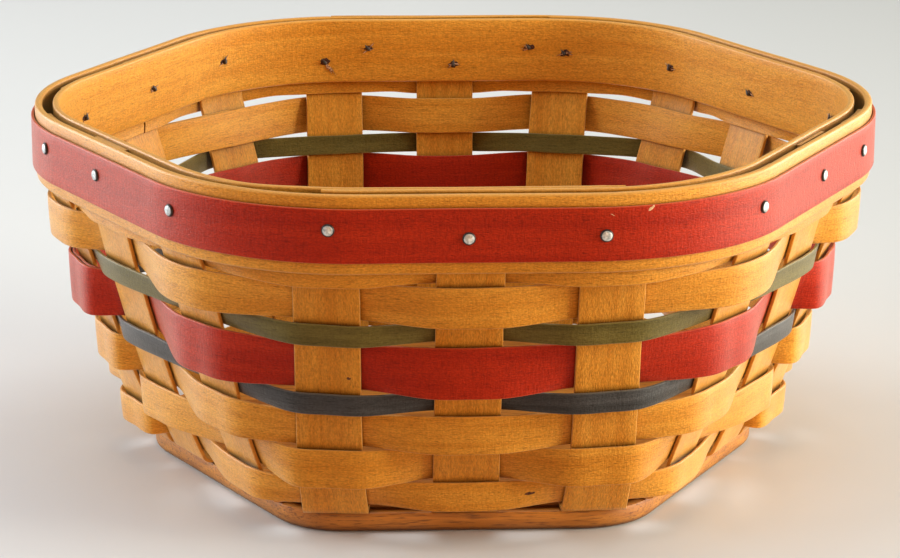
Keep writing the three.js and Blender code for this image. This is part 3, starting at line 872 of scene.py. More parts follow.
@dataclass
class Rim:
    """Outer band, inner band and the coloured trim strip."""

    wall: Wall
    trim_height: float = 19.6
    trim_thick: float = 1.2
    trim_drop: float = 4.5
    trim_gap: float = 0.3
    inner_lap_start: float = -53.0
    inner_lap_length: float = 108.0
    inner_lap_ramp: float = 32.0
    inner_lap_bevel: float = 9.0
    inner_lap_edge: float = 0.7
    inner_lap_clearance: float = 2.0
    outer_lap_length: float = 92.0
    trim_lap_length: float = 44.0
    skived_edge: float = 0.5
    skived_trim_edge: float = 0.35
    lap_gap: float = 0.35
    lap_end_step: float = 1.5
    spacing: float = 2.4
    least_spacing: float = 0.6
    outer_ease: float = 1.0
    inner_ease: float = 0.9
    trim_ease: float = 0.4
    face_steps: int = 8
    first_seed: int = 30
    waver: Waver = Waver(0.15, 37.0, (200, 240))

    def lengths(self, start: float, end: float, extra: Sequence[float]) -> Points:
        """Return closely spaced lengths from start to end with the extra ones among them.

        Args:
            start: First length.
            end: Last length.
            extra: Lengths at which a lap begins or ends.

        Returns:
            The lengths in order.
        """
        count = round((end - start) / self.spacing)
        even = [lerp(start, end, i / count) for i in range(count + 1)]
        kept = [one for one in even if all(abs(one - other) > self.least_spacing for other in extra)]
        return np.array(sorted([start, end, *[one for one in extra if start < one < end], *kept[1:-1]]))

    def hoop(self, strip: Strip, lengths: Points, outers: Points, inners: Points) -> Piece:
        """Sweep a strip between two insets from the rim's outline.

        Args:
            strip: The strip.
            lengths: Lengths along the rim at which it is placed.
            outers: Inset of the outer face at each length.
            inners: Inset of the inner face at each length.

        Returns:
            The new object.
        """
        half_height = (strip.top - strip.bottom) / 2
        rings, grains = [], []
        for length, outer, inner in zip(lengths, outers, inners):
            place = self.wall.rim.at(length)
            across, through = strip_section(half_height, (inner - outer) / 2, strip.ease, self.face_steps).T
            share = across / half_height
            low, high = self.waver.at(length, strip.seed)
            edge = np.where(share > 0, high - self.waver.depth, self.waver.depth - low) * np.abs(share)
            ring = place.point + place.normal * (through - (outer + inner) / 2)[:, None]
            rings.append(ring + UP * ((strip.bottom + strip.top) / 2 + across + edge)[:, None])
            grains.append(grain_points(length, across, through, self.first_seed + strip.seed))
        return swept(strip.name, rings, grains)

    def skived(self, strip: Strip, inset: float, thick: float, lap: float, edge: float) -> Piece:
        """Sweep a strip whose thinned ends lap on the back without thickening it.

        Args:
            strip: The strip.
            inset: Inset of its outer face.
            thick: Its thickness.
            lap: Length of the lap.
            edge: Thickness of the thinned ends.

        Returns:
            The new object.
        """
        start = (self.wall.rim.girth - lap) / 2
        end = start + self.wall.rim.girth
        step = self.lap_end_step
        lengths = self.lengths(start, end + lap, [start + lap, start + lap + step, end - step, end])
        base = inset + thick
        first, last = (lerp(edge, thick - self.lap_gap - edge, (lengths - at) / lap) for at in (start, end))
        outers = np.where(lengths < start + lap + step / 2, base - first, inset)
        inners = np.where(lengths > end - step / 2, base - last - self.lap_gap, base)
        return self.hoop(strip, lengths, outers, inners)

    def inner_depth(self, length: float) -> float:
        """Return the depth of the inner band's inner face behind the rim's outline.

        Args:
            length: Length along the rim.

        Returns:
            The depth, which is greater where the band laps.
        """
        wrapped = (length - self.inner_lap_start) % self.wall.rim.girth
        layer = self.wall.inner_thick + self.lap_gap if wrapped < self.inner_lap_length else 0.0
        return self.wall.inner_inset + self.wall.inner_thick + layer

    def build_outer(self) -> Piece:
        """Sweep the outer band.

        Returns:
            The new object.
        """
        wall = self.wall
        strip = Strip("outer_band_splint", wall.rim_bottom, wall.rim_top, self.outer_ease, 1)
        return self.skived(strip, 0.0, wall.outer_thick, self.outer_lap_length, self.skived_edge)

    def build_trim(self) -> Piece:
        """Sweep the coloured trim strip.

        Returns:
            The new object.
        """
        top = self.wall.rim_top - self.trim_drop
        strip = Strip("trim_splint", top - self.trim_height, top, self.trim_ease, 2)
        inset = -(self.trim_gap + self.trim_thick)
        return self.skived(strip, inset, self.trim_thick, self.trim_lap_length, self.skived_trim_edge)

    def build_inner(self) -> Piece:
        """Sweep the inner band, whose end runs on inside its start past the front.

        Returns:
            The new object.
        """
        wall = self.wall
        lap_at = self.inner_lap_start + wall.rim.girth
        ramp_end = lap_at - self.inner_lap_clearance
        end = lap_at + self.inner_lap_length
        bevel_start = end - self.inner_lap_bevel
        lengths = self.lengths(self.inner_lap_start, end, [bevel_start])
        ramp = smoothstep(lengths, ramp_end - self.inner_lap_ramp, ramp_end)
        bevel = np.maximum(0.0, lengths - bevel_start) / self.inner_lap_bevel
        outers = wall.inner_inset + (wall.inner_thick + self.lap_gap) * ramp
        inners = outers + lerp(wall.inner_thick, self.inner_lap_edge, bevel)
        strip = Strip("inner_band_splint", wall.rim_top - wall.inner_height, wall.rim_top, self.inner_ease, 3)
        return self.hoop(strip, lengths, outers, inners)


@dataclass
class Board:
    """The grooved board that the basket stands on."""

    apothem: float = 105.0
    corner: float = 30.0
    lip: float = 7.6
    top: float = 13.0
    round_edge: float = 2.6
    ease: float = 0.8
    ease_turn: float = 0.3
    upper_inset: float = 2.7
    groove_depth: float = 6.2
    groove_height: float = 2.3
    corner_steps: int = 12
    side_steps: int = 10
    round_steps: int = 6
    inner_rings: tuple[float, ...] = (0.1, 0.4, 0.7)

    def build(self) -> Piece:
        """Turn the board's profile round its plan.

        Returns:
            The new object.
        """
        outline = RoundedHexagon(self.apothem, self.corner)
        straight = 2 * outline.flat
        arc = outline.side - straight
        shares = [straight * i / self.side_steps for i in range(self.side_steps)]
        shares += [straight + arc * i / self.corner_steps for i in range(self.corner_steps)]
        starts = [side * outline.side - outline.flat for side in range(6)]
        places = [outline.at(start + share) for start in starts for share in shares]
        plan = np.array([place.point for place in places])
        normals = np.array([place.normal for place in places])

        turn = self.ease * self.ease_turn
        groove_top = self.lip + self.groove_height
        angles = [i / self.round_steps * math.pi / 2 for i in range(self.round_steps + 1)]
        profile = [(self.round_edge * (1 - math.sin(a)), self.round_edge * (1 - math.cos(a))) for a in angles]
        profile += [
            (0.0, self.lip / 2),
            (0.0, self.lip - self.ease),
            (turn, self.lip - turn),
            (self.ease, self.lip),
            (self.groove_depth, self.lip),
            (self.groove_depth, groove_top),
            (self.upper_inset, groove_top),
            (self.upper_inset, self.top - self.ease),
            (self.upper_inset + turn, self.top - turn),
            (self.upper_inset + self.ease, self.top),
        ]
        rings = [plan - normals * inset + UP * z for inset, z in profile]
        under = [rings[0] * (share, share, 1.0) for share in self.inner_rings]
        over = [rings[-1] * (share, share, 1.0) for share in reversed(self.inner_rings)]
        return merged("base_board_wood", [np.array([*under, *rings, *over])])


class TackPlace(NamedTuple):
    """A tack's CAD node, its length along the rim, its height and its upright's number, or -1."""

    node: str
    length: float
    z: float
    number: int


@dataclass
class Tacks:
    """Flat-headed steel tacks, driven from outside and clinched on the inside."""

    wall: Wall
    rim: Rim
    lap_rise: float = 15.9
    lap_clearance: float = 2.6
    head_radius: float = 2.3
    face_radius: float = 1.75
    head_rim: float = 0.45
    head_dome: float = 0.35
    crown_radius: float = 0.12
    shank_radius: float = 0.75
    point_radius: float = 0.06
    seat_gap: float = 0.3
    tip_length: float = 2.6
    tip_stand: float = 1.15
    bend_rise: float = 0.5
    bend_start: float = 0.2
    sideways: float = 0.8
    sides: int = 18
    hammered: float = 0.05
    hammered_wave: float = 2.2
    hammered_seed: int = 60

    def places(self) -> list[TackPlace]:
        """Return the place of each upright's tack and of the two in the outer band's lap.

        Returns:
            The places in the order in which the tacks are made.
        """
        wall = self.wall
        girth = wall.rim.girth
        places = []
        for number, at in enumerate(UPRIGHTS):
            length = wall.upright_place(number, wall.tack_height) * girth + at.tack_aside
            node = f"tack_{side_and_number(number)}"
            places.append(TackPlace(node, length, wall.tack_height + at.tack_up, number))
        middle = 1 + COUNT // 2
        for side, node in ((-1, "lap_tack_right"), (1, "lap_tack_left")):
            upright = wall.upright_place(middle + side, wall.tack_height) * girth
            length = upright - side * (wall.upright_width / 2 + self.lap_clearance)
            places.append(TackPlace(node, length, wall.rim_bottom + self.lap_rise, -1))
        return places

    def build(self, at: TackPlace) -> Piece:
        """Make one tack.

        Args:
            at: Its place.

        Returns:
            The new object.
        """
        place = self.wall.rim.at(at.length)
        sideways = 0.0 if at.number % 2 == 0 else self.sideways
        clinch = unit(UP + place.tangent * sideways)
        side = np.cross(clinch, place.normal)
        centre = place.point + UP * at.z
        seat = self.rim.trim_gap + self.rim.trim_thick + self.seat_gap
        crown = seat + self.head_rim
        inside = -self.rim.inner_depth(at.length)
        dome, stand, shank = self.head_dome, self.tip_stand, self.shank_radius
        tapering = lerp(self.bend_rise, self.tip_length, 0.6)
        # Place out from the band, place along the clinch, radius, tilt and darkness of each ring. The
        # darkness is rust, and at the head's rim also painted shade.
        profile = (
            (crown + dome, 0.0, self.crown_radius, 0.0, 0.0),
            (crown + dome * 0.9, 0.0, self.face_radius * 0.5, 0.0, 0.0),
            (crown + dome * 0.62, 0.0, self.face_radius * 0.85, 0.0, 0.0),
            (crown + dome * 0.3, 0.0, self.face_radius, 0.0, 0.15),
            (crown - 0.02, 0.0, self.face_radius * 1.08, 0.0, 1.0),
            (seat + 0.2, 0.0, self.head_radius * 0.97, 0.0, 1.0),
            (seat, 0.0, self.head_radius, 0.0, 1.0),
            (seat, 0.0, shank, 0.0, 1.0),
            (inside - self.bend_start, 0.0, shank, 0.0, 1.0),
            (inside - stand * 0.75, self.bend_rise * 0.35, shank, math.pi / 7, 0.97),
            (inside - stand, self.bend_rise, shank * 0.9, math.pi / 4, 0.95),
            (inside - stand * 0.9, tapering, shank * 0.45, 1.2, 0.95),
            (inside - stand * 0.7, self.tip_length, self.point_radius, 1.4, 0.9),
        )
        angles = np.linspace(0, 2 * math.pi, self.sides, endpoint=False)
        seed = at.number + self.hammered_seed
        noises = [wander(i, self.hammered_wave, seed) for i in range(self.sides)]
        wobble = 1 + self.hammered * np.array(noises)
        rings = []
        for out, along, radius, tilt, _ in profile:
            axis = clinch * math.cos(tilt) + place.normal * math.sin(tilt)
            middle = centre + place.normal * out + clinch * along
            reach = (radius * wobble)[:, None]
            rings.append(middle + reach * (np.cos(angles)[:, None] * side + np.sin(angles)[:, None] * axis))
        dark = np.repeat([ring[-1] for ring in profile], self.sides)
        return merged(f"{at.node}_steel", [np.array(rings)], dark)


@dataclass
class Clinches:
    """Dark rust and torn fibres round the tips where the tacks come through the inner band."""

    rim: Rim
    tacks: Tacks
    stain_reach: float = 1.8
    stain_height: float = 1.15
    stain_lift: float = 0.12
    stain_wobble: float = 0.18
    stain_rise: float = 0.4
    stain_scales: tuple[float, float] = (0.85, 1.25)
    splinters: int = 3
    splinter_length: float = 2.6
    splinter_width: float = 0.7
    splinter_start: float = 0.4
    splinter_sunk: float = 0.1
    splinter_deep: float = 0.28
    splinter_crown: float = 0.7
    splinter_slope: float = 0.45
    splinter_spread: float = 0.8
    tip_width: float = 0.06
    tip_deep: float = 0.05
    torn_number: int = 11
    torn_scale: float = 2.1
    torn_stain: float = 1.25
    torn_slope: float = 0.95
    torn_spread: float = 0.3
    sides: int = 14
    first_seed: int = 5

    def stain(self, centre: Points, place: Place, scale: float, rng: np.random.Generator) -> Points:
        """Return the rings of one thin irregular patch on the band's inner face.

        Args:
            centre: Its middle.
            place: Place of the tack on the rim.
            scale: Its size, where 1 is usual.
            rng: Source of the random draws.

        Returns:
            Its rings, from the sunk one to the top.
        """
        wobble = scale * (1 + self.stain_wobble * rng.standard_normal(self.sides))
        axes = (place.tangent * self.stain_reach, UP * self.stain_height, -place.normal * self.stain_lift)
        levels = ((1.0, -1.0), (1.0, 0.15), (0.85, 0.8), (0.3, 1.0), (0.05, 1.05))
        return patch(centre, axes, levels, wobble)

    def splinter(self, centre: Points, place: Place, torn: bool, rng: np.random.Generator) -> Points:
        """Return the rings of one torn sliver that lifts off the band's inner face.

        Args:
            centre: Place of its root.
            place: Place of the tack on the rim.
            torn: Whether it is one of the long ones that point up to one side.
            rng: Source of the random draws.

        Returns:
            Its rings, from its root to its tip.
        """
        turn = rng.normal(0.0, self.splinter_slope) + (math.pi if rng.random() < 0.5 else 0.0)
        if torn:
            turn = math.pi + rng.normal(self.torn_slope, self.torn_spread)
        way = place.tangent * math.cos(turn) + UP * math.sin(turn)
        side = -place.tangent * math.sin(turn) + UP * math.cos(turn)
        length = self.splinter_length * (self.torn_scale if torn else 1.0) * rng.uniform(0.6, 1.3)
        width = self.splinter_width * rng.uniform(0.6, 1.2)
        lift = rng.uniform(0.2, 0.7)
        rings = []
        for share in (0.0, 0.3, 0.65, 1.0):
            half = width / 2 * max(self.tip_width, (1 - share) ** 0.7)
            top = half * self.splinter_crown
            deep = self.splinter_deep * (1 - share) + self.tip_deep
            middle = centre + way * (self.splinter_start + length * share)
            middle = middle - place.normal * (lift * share**1.5)
            sunk = -self.splinter_sunk
            corners = ((-half, sunk), (half, sunk), (top, deep), (-top, deep))
            rings.append([middle + side * across - place.normal * inward for across, inward in corners])
        return np.array(rings)

    def build(self) -> tuple[Piece, Piece]:
        """Make the marks at every tip.

        Returns:
            The stains as one object and the splinters as another.
        """
        stains, slivers = [], []
        for index, at in enumerate(self.tacks.places()):
            rng = np.random.default_rng(index + self.first_seed)
            place = self.rim.wall.rim.at(at.length)
            centre = place.point - place.normal * self.rim.inner_depth(at.length) + UP * at.z
            torn = at.number == self.torn_number
            scale = self.torn_stain if torn else rng.uniform(*self.stain_scales)
            stains.append(self.stain(centre + UP * self.stain_rise, place, scale, rng))
            for _ in range(self.splinters * (2 if torn else 1)):
                root = centre + UP * rng.uniform(-self.splinter_spread, self.splinter_spread)
                slivers.append(self.splinter(root, place, torn, rng))
        return merged("clinch_stains", stains), merged("clinch_splinters", slivers)


class SmallMark(NamedTuple):
    """A natural mark or a slight injury on one splint."""

    name: str
    carrier: str
    near: Point
    length: float
    height: float
    tilt: float
    bare: bool = False


MARKS = (
    SmallMark("mineral_fleck", "weaver_7_natural", (22.7, -115.0, 17.6), 4.4, 1.2, 0.12),
    SmallMark("pin_knot", "upright_front_1", (-42.7, -131.5, 67.2), 1.6, 1.1, 0.0),
    SmallMark("trim_chip", "red_rim_trim", (61.2, -148.5, 132.7), 2.8, 1.0, 0.7, True),
    SmallMark("trim_scratch", "red_rim_trim", (47.5, -150.0, 131.2), 1.8, 0.22, -0.5, True),
)


@dataclass
class SmallMarks:
    """A fleck, a pin knot, a chip and a scratch, as thin patches set into their splints."""

    sides: int = 12
    sunk: float = 0.25
    proud: float = 0.06
    wobble: float = 0.16
    seed: int = 21

    def build(self, mark: SmallMark, carrier: Piece) -> Piece:
        """Make one mark on the nearest face of its splint.

        Args:
            mark: The mark, with a place near it.
            carrier: The splint that carries it.

        Returns:
            The new object.
        """
        rng = np.random.default_rng(self.seed)
        _, at, normal, _ = carrier.closest_point_on_mesh(Vector(mark.near) * METRES)
        centre = np.array(at) / METRES
        out = unit(np.array(normal))
        level = unit(np.cross(UP, out))
        along = level * math.cos(mark.tilt) + np.cross(out, level) * math.sin(mark.tilt)
        wobble = (1 + self.wobble * rng.standard_normal(self.sides)) / 2
        axes = (along * mark.length, np.cross(out, along) * mark.height, out)
        levels = ((0.9, -self.sunk), (1.0, 0.0), (0.7, self.proud * 0.8), (0.1, self.proud))
        return merged(mark.name, [patch(centre, axes, levels, wobble)])


# Materials

# Numbers of the inputs and the output of a colour mix.
FACTOR, BELOW, ABOVE, MIXED = 0, 6, 7, 2
Colour = tuple[float, float, float, float]
Socket = bpy.types.NodeSocket


def linear(hex_colour: str) -> Colour:
    """Turn an sRGB hex colour to linear light.

    Args:
        hex_colour: Six hex digits after a hash.

    Returns:
        Linear red, green and blue with full alpha.
    """
    channels = [int(hex_colour[i : i + 2], 16) / 255 for i in (1, 3, 5)]
    light = [c / 12.92 if c <= 0.04045 else ((c + 0.055) / 1.055) ** 2.4 for c in channels]
    return (light[0], light[1], light[2], 1.0)


class Recipe:
    """A material in the making, with the places in the wood that its patterns follow."""

    def __init__(self, name: str) -> None:
        """Start a material with an empty node tree.

        Args:
            name: Name of the material.
        """
        self.material = bpy.data.materials.new(name)
        self.material.use_nodes = True
        self.tree = self.material.node_tree
        self.tree.nodes.clear()
        self.place = self.add("Attribute", {"attribute_name": GRAIN_ATTRIBUTE}, "Vector")

    def add(self, kind: str, settings: dict[Any, Any] | None = None, output: int | str = 0) -> Socket:
        """Add a node with its settings and links.

        Args:
            kind: Blender's name for the kind of node, after ShaderNode.
            settings: Values, or sockets to link, by property name or by input name or number.
            output: Name or number of the output that is wanted.

        Returns:
            That output.
        """
        node = self.tree.nodes.new(f"ShaderNode{kind}")
        for key, value in (settings or {}).items():
            if isinstance(value, Socket):
                self.tree.links.new(value, node.inputs[key])
            elif isinstance(key, str) and hasattr(node, key):
                setattr(node, key, value)
            else:
                node.inputs[key].default_value = value
        return node.outputs[output]

    def pattern(self, per_mm: Point, detail: float, roughness: float = 0.5, swirl: float = 0.0) -> Socket:
        """Add a noise that is stretched along the wood.

        Args:
            per_mm: Crests per millimetre along, across and through the wood.
            detail: How many finer octaves it has.
            roughness: How strong those are.
            swirl: How much it is distorted.

        Returns:
            Its strength, from 0 to 1 and mostly near 0.5.
        """
        place = self.add("VectorMath", {"operation": "MULTIPLY", 0: self.place, 1: per_mm})
        settings = {"Vector": place, "Scale": 1.0, "Detail": detail, "Roughness": roughness}
        return self.add("TexNoise", {**settings, "Distortion": swirl})

    def laid(
        self, below: Socket | Colour, above: str, strength: Socket, low: float, high: float, most: float = 1.0
    ) -> Socket:
        """Lay a colour over another where a strength is high.

        Args:
            below: The colour underneath.
            above: The colour on top.
            strength: The strength.
            low: Strength at which the top colour starts.
            high: Strength at which it is fullest.
            most: Its share there.

        Returns:
            The mixed colour.
        """
        amount = self.add("MapRange", {"Value": strength, "From Min": low, "From Max": high, "To Max": most})
        mix = {"data_type": "RGBA", FACTOR: amount, BELOW: below, ABOVE: linear(above)}
        return self.add("Mix", mix, MIXED)

    def painted_crevice_shade(self, low: float, least: float) -> Socket:
        """Return a factor of painted shade that darkens crossings and corners, where shade falls.

        Args:
            low: Openness at which the wood is darkest.
            least: The factor there.

        Returns:
            The factor, which is 1 in the open.
        """
        # It reaches 8 mm, given in metres, from the next surface.
        openness = self.add("AmbientOcclusion", {"samples": 6, "Distance": 0.008}, "AO")
        return self.add("MapRange", {"Value": openness, "From Min": low, "From Max": 0.85, "To Min": least})

    def finish(self, settings: dict[Any, Any]) -> Material:
        """Add the shader and link it to the material's surface.

        Args:
            settings: The shader's values and the sockets that feed it, by input name.

        Returns:
            The finished material.
        """
        shader = self.add("BsdfPrincipled", settings)
        output = self.tree.nodes.new("ShaderNodeOutputMaterial")
        self.tree.links.new(shader, output.inputs["Surface"])
        return self.material


@dataclass(frozen=True)
class SplintFinish:
    """Maple veneer splint, peeled, stained, then dipped in thin varnish.

    To the eye: long soft bands with fine fibres, stain that gathers in the pores and the peeling
    marks, cut edges that have worn paler, and gloss that shows only where it is seen aslant.
    """

    name: str
    light: str
    dark: str
    line: str
    fleck: str
    edge: str
    wear: float
    roughness: float
    coat: float
    tick: float

    def build(self) -> Material:
        """Make the material.

        Returns:
            The new material.
        """
        recipe = Recipe(self.name)
        # Broad growth figure: bands about 6 mm wide and a hand's width long.
        broad = recipe.pattern((0.009, 0.16, 0.3), 3.0, swirl=0.6)
        # Fibres: dashes 8 mm long and 0.7 mm apart, drawn a little coarser than real ones to show.
        fibre = recipe.pattern((0.12, 1.5, 1.5), 4.0, 0.62)
        # Pores: short dark flecks, 3 mm long and 0.4 mm wide.
        pore = recipe.pattern((0.32, 2.6, 2.6), 2.0)
        # Peeling marks: fine lines across the strip, 0.8 mm apart, that the stain fills.
        tick = recipe.pattern((1.3, 0.22, 0.3), 3.0, 0.7)
        # Granules: the fibres' cut ends under thin varnish, 1.1 mm by 0.5 mm. Real ones are finer.
        granule = recipe.pattern((0.9, 2.0, 2.0), 1.0)

        colour = recipe.laid(linear(self.dark), self.light, broad, 0.3, 0.7)
        colour = recipe.laid(colour, self.line, fibre, 0.45, 0.68, 0.4)
        colour = recipe.laid(colour, self.fleck, pore, 0.6, 0.72, 0.5)
        colour = recipe.laid(colour, self.fleck, tick, 0.5, 0.7, self.tick)
        spread = {"From Min": 0.3, "From Max": 0.7}
        shade = recipe.add("MapRange", {**spread, "Value": granule, "To Min": 0.84, "To Max": 1.15})
        # Random granule tone, times painted shade that darkens crossings and corners.
        tone_with_painted_shade = recipe.add("Math", {"operation": "MULTIPLY", 0: shade, 1: recipe.painted_crevice_shade(0.3, 0.35)})
        colour = recipe.add("VectorMath", {"operation": "SCALE", 0: colour, "Scale": tone_with_painted_shade})
        worn = recipe.add("Attribute", {"attribute_name": EDGE_ATTRIBUTE}, "Fac")
        colour = recipe.laid(colour, self.edge, worn, 0.0, 1.0, self.wear)
        relief = recipe.add("Math", {"operation": "ADD", 0: granule, 1: tick})
        bump = recipe.add("Bump", {"Strength": 0.5, "Distance": 0.0004, "Height": relief})
        dull = {"To Min": self.roughness - 0.08, "To Max": self.roughness + 0.1}
        roughness = recipe.add("MapRange", {**spread, **dull, "Value": tick})
        # Thin varnish shows most where the splint is seen aslant.
        slant = recipe.add("LayerWeight", {"Blend": 0.5}, "Facing")
        varnish = {"From Min": 0.2, "From Max": 0.6, "To Min": 0.03, "To Max": self.coat}
        coat = recipe.add("MapRange", {**varnish, "Value": slant})
        return recipe.finish({
            "Base Color": colour, "Roughness": roughness, "Normal": bump, "Coat Weight": coat,
            "IOR": 1.45, "Specular IOR Level": 0.18, "Coat Roughness": 0.42, "Coat IOR": 1.55,
            "Sheen Weight": 0.1, "Sheen Roughness": 0.5, "Sheen Tint": linear("#FFE49A"),
        })


@dataclass(frozen=True)
class BoardFinish:
    """Flat-sawn hardwood board, stained brown and wiped, with its grain along the front.

    To the eye: wide brown figure with dark pore dashes, and painted shade under the wall and at the foot.
    """

    name: str = "stained_hardwood_board"
    light: str = "#DB9434"
    dark: str = "#A8651C"
    fleck: str = "#5E330D"

    def build(self) -> Material:
        """Make the material.

        Returns:
            The new material.
        """
        recipe = Recipe(self.name)
        # Figure about 11 mm wide, and pore dashes 8 mm long and 1.1 mm wide.
        broad = recipe.pattern((0.012, 0.09, 0.4), 4.0, swirl=0.8)
        pores = recipe.pattern((0.12, 0.9, 1.6), 3.0, 0.6)
        colour = recipe.laid(linear(self.dark), self.light, broad, 0.3, 0.7)
        colour = recipe.laid(colour, self.fleck, pores, 0.52, 0.68, 0.75)
        # Painted shade: darker under the wall and at the foot.
        colour = recipe.add("VectorMath", {"operation": "SCALE", 0: colour, "Scale": recipe.painted_crevice_shade(0.2, 0.3)})
        bump = recipe.add("Bump", {"Strength": 0.3, "Distance": 0.0004, "Height": pores})
        return recipe.finish({
            "Base Color": colour, "Normal": bump, "IOR": 1.5, "Roughness": 0.5,
            "Coat Weight": 0.15, "Coat Roughness": 0.35,
        })


@dataclass(frozen=True)
class SteelFinish:
    """Carbon steel, stamped, tumbled and dulled by age.

    To the eye: a pale mottled crown, brown rust on the clinched tip, and a dark rim round the head that is
    partly rust and partly painted shade.
    """

    name: str = "tumbled_tack_steel"
    light: str = "#E9F3F5"
    dark: str = "#A8B4B6"
    # This dark colour is rust, and on the head's rim it also stands for painted shade.
    rust: str = "#2A1B12"

    def build(self) -> Material:
        """Make the material.

        Returns:
            The new material.
        """
        recipe = Recipe(self.name)
        # Mottle from the tumbling, 1.1 mm apart. The real one is finer and wouldn't show.
        mottle = recipe.pattern((0.9, 0.9, 0.9), 3.0)
        rust_and_rim_shade = recipe.add("Attribute", {"attribute_name": EDGE_ATTRIBUTE}, "Fac")
        colour = recipe.laid(linear(self.dark), self.light, mottle, 0.35, 0.62)
        colour = recipe.laid(colour, self.rust, rust_and_rim_shade, 0.0, 1.0)
        metallic = recipe.add("MapRange", {"Value": rust_and_rim_shade, "To Min": 0.35, "To Max": 0.1})
        bump = recipe.add("Bump", {"Strength": 0.3, "Distance": 0.0002, "Height": mottle})
        return recipe.finish({"Base Color": colour, "Metallic": metallic, "Normal": bump, "Roughness": 0.45})


@dataclass(frozen=True)
class PlainFinish:
    """Matt maple fibre of one tone with a little mottling, for rust stains, tears and small marks."""

    name: str
    light: str
    dark: str

    def build(self) -> Material:
        """Make the material.

        Returns:
            The new material.
        """
        recipe = Recipe(self.name)
        # Mottle about 0.8 mm apart.
        mottle = recipe.pattern((1.2, 1.2, 1.2), 2.0)
        colour = recipe.laid(linear(self.dark), self.light, mottle, 0.4, 0.6)
        return recipe.finish({"Base Color": colour, "Roughness": 0.7})


class Lamp(NamedTuple):
    """A soft square lamp: its place and its side in metres, its power in watts and its colour."""

    name: str
    at: Point
    size: float
    power: float
    colour: str


LAMPS = (
    Lamp("left_back_window", (-1.5, 0.75, 0.55), 1.1, 21.5, "#FFFFFF"),
    Lamp("left_window", (-1.6, -0.15, 0.8), 1.0, 11.0, "#FBFDFF"),
    Lamp("right_window", (1.55, -0.35, 0.45), 0.85, 34.0, "#FFF6E2"),
    Lamp("right_back_window", (1.5, 0.75, 0.4), 1.1, 22.0, "#FFF8E8"),
    Lamp("overhead", (0.0, 0.1, 2.2), 1.8, 21.0, "#FFFFFF"),
    Lamp("warm_front_fill", (0.1, -1.7, 0.2), 0.7, 8.5, "#FFA448"),
)
LAMP_AIM = Vector((0.0, 0.0, 0.07))


@dataclass
class Studio:
    """Camera, lamps, world and the pale floor."""

    camera_at: Point = (-55.25, -1261.2, 432.95)
    pitch: float = 0.2835
    yaw: float = 0.0426
    roll: float = 0.0030
    lens: float = 135.54
    clip: tuple[float, float] = (0.05, 30.0)
    world_colour: str = "#F2F3F4"
    world_strength: float = 0.14
    floor_size: float = 8000.0
    floor_cells: int = 8
    floor_colour: str = "#DBDEDF"
    floor_painted_shade: str = "#AAAEAE"
    floor_reflected: str = "#5E3C1A"

    def build_camera(self) -> None:
        """Place the camera where the photograph was taken from."""
        flat = math.cos(self.pitch)
        forward = Vector((math.sin(self.yaw) * flat, math.cos(self.yaw) * flat, -math.sin(self.pitch)))
        right = Vector((math.cos(self.yaw), -math.sin(self.yaw), 0.0))
        up = right.cross(forward)
        turned_right = right * math.cos(self.roll) + up * math.sin(self.roll)
        turned_up = up * math.cos(self.roll) - right * math.sin(self.roll)
        data = bpy.data.cameras.new("camera")
        data.lens = self.lens
        data.clip_start, data.clip_end = self.clip
        camera = bpy.data.objects.new("camera", data)
        turn = Matrix((turned_right, turned_up, -forward)).transposed().to_4x4()
        camera.matrix_world = Matrix.Translation(Vector(self.camera_at) * METRES) @ turn
        bpy.context.scene.collection.objects.link(camera)
        bpy.context.scene.camera = camera

    def build_light(self) -> None:
        """Light the scene from both sides and softly from all around."""
        for lamp in LAMPS:
            data = bpy.data.lights.new(lamp.name, "AREA")
            data.shape = "SQUARE"
            data.size = lamp.size
            data.energy = lamp.power
            data.color = linear(lamp.colour)[:3]
            light = bpy.data.objects.new(lamp.name, data)
            light.location = lamp.at
            light.rotation_euler = (LAMP_AIM - light.location).to_track_quat("-Z", "Y").to_euler()
            bpy.context.scene.collection.objects.link(light)
        world = bpy.data.worlds.new("studio")
        world.use_nodes = True
        background = world.node_tree.nodes["Background"]
        background.inputs["Color"].default_value = linear(self.world_colour)
        background.inputs["Strength"].default_value = self.world_strength
        bpy.context.scene.world = world

    def floor_finish(self) -> Material:
        """Make the floor's flat paint, with painted shade that darkens it to the right.

        Returns:
            The new material.
        """
        recipe = Recipe("painted_board_floor")
        x = recipe.add("SeparateXYZ", {0: recipe.place}, "X")
        y = x.node.outputs["Y"]
        # Painted shade: the floor grows darker towards the right.
        colour = recipe.laid(linear(self.floor_colour), self.floor_painted_shade, x, 0.0, 500.0, 0.8)
        # The floor close in front throws only a little warm light back on the basket.
        near = recipe.add("MapRange", {"Value": y, "From Min": -70.0, "From Max": -180.0})
        aside = recipe.add("Math", {"operation": "ABSOLUTE", 0: x})
        ahead = recipe.add("MapRange", {"Value": aside, "From Min": 300.0, "From Max": 100.0})
        front = recipe.add("Math", {"operation": "MULTIPLY", 0: near, 1: ahead})
        bounced = recipe.laid(colour, self.floor_reflected, front, 0.0, 1.0)
        # The camera, metal, glass and varnish see it pale.
        camera_ray = recipe.add("LightPath", {}, "Is Camera Ray")
        rays = camera_ray.node.outputs
        glints = {0: rays["Is Glossy Ray"], 1: rays["Is Transmission Ray"]}
        shiny = recipe.add("Math", {"operation": "MAXIMUM", **glints})
        direct = recipe.add("Math", {"operation": "MAXIMUM", 0: camera_ray, 1: shiny})
        seen = recipe.add("Mix", {"data_type": "RGBA", FACTOR: direct, BELOW: bounced, ABOVE: colour}, MIXED)
        return recipe.finish({"Base Color": seen, "Roughness": 0.7})

    def build_floor(self) -> None:
        """Lay the pale floor."""
        half, cells = self.floor_size / 2, self.floor_cells
        steps = np.linspace(-half, half, cells + 1)
        points = np.array([(x, y, 0.0) for y in steps for x in steps])
        corners = [row * (cells + 1) + column for row in range(cells) for column in range(cells)]
        faces = [(at, at + 1, at + cells + 2, at + cells + 1) for at in corners]
        floor = mesh_object("floor", points, faces, with_edge(points))
        floor.data.materials.append(self.floor_finish())


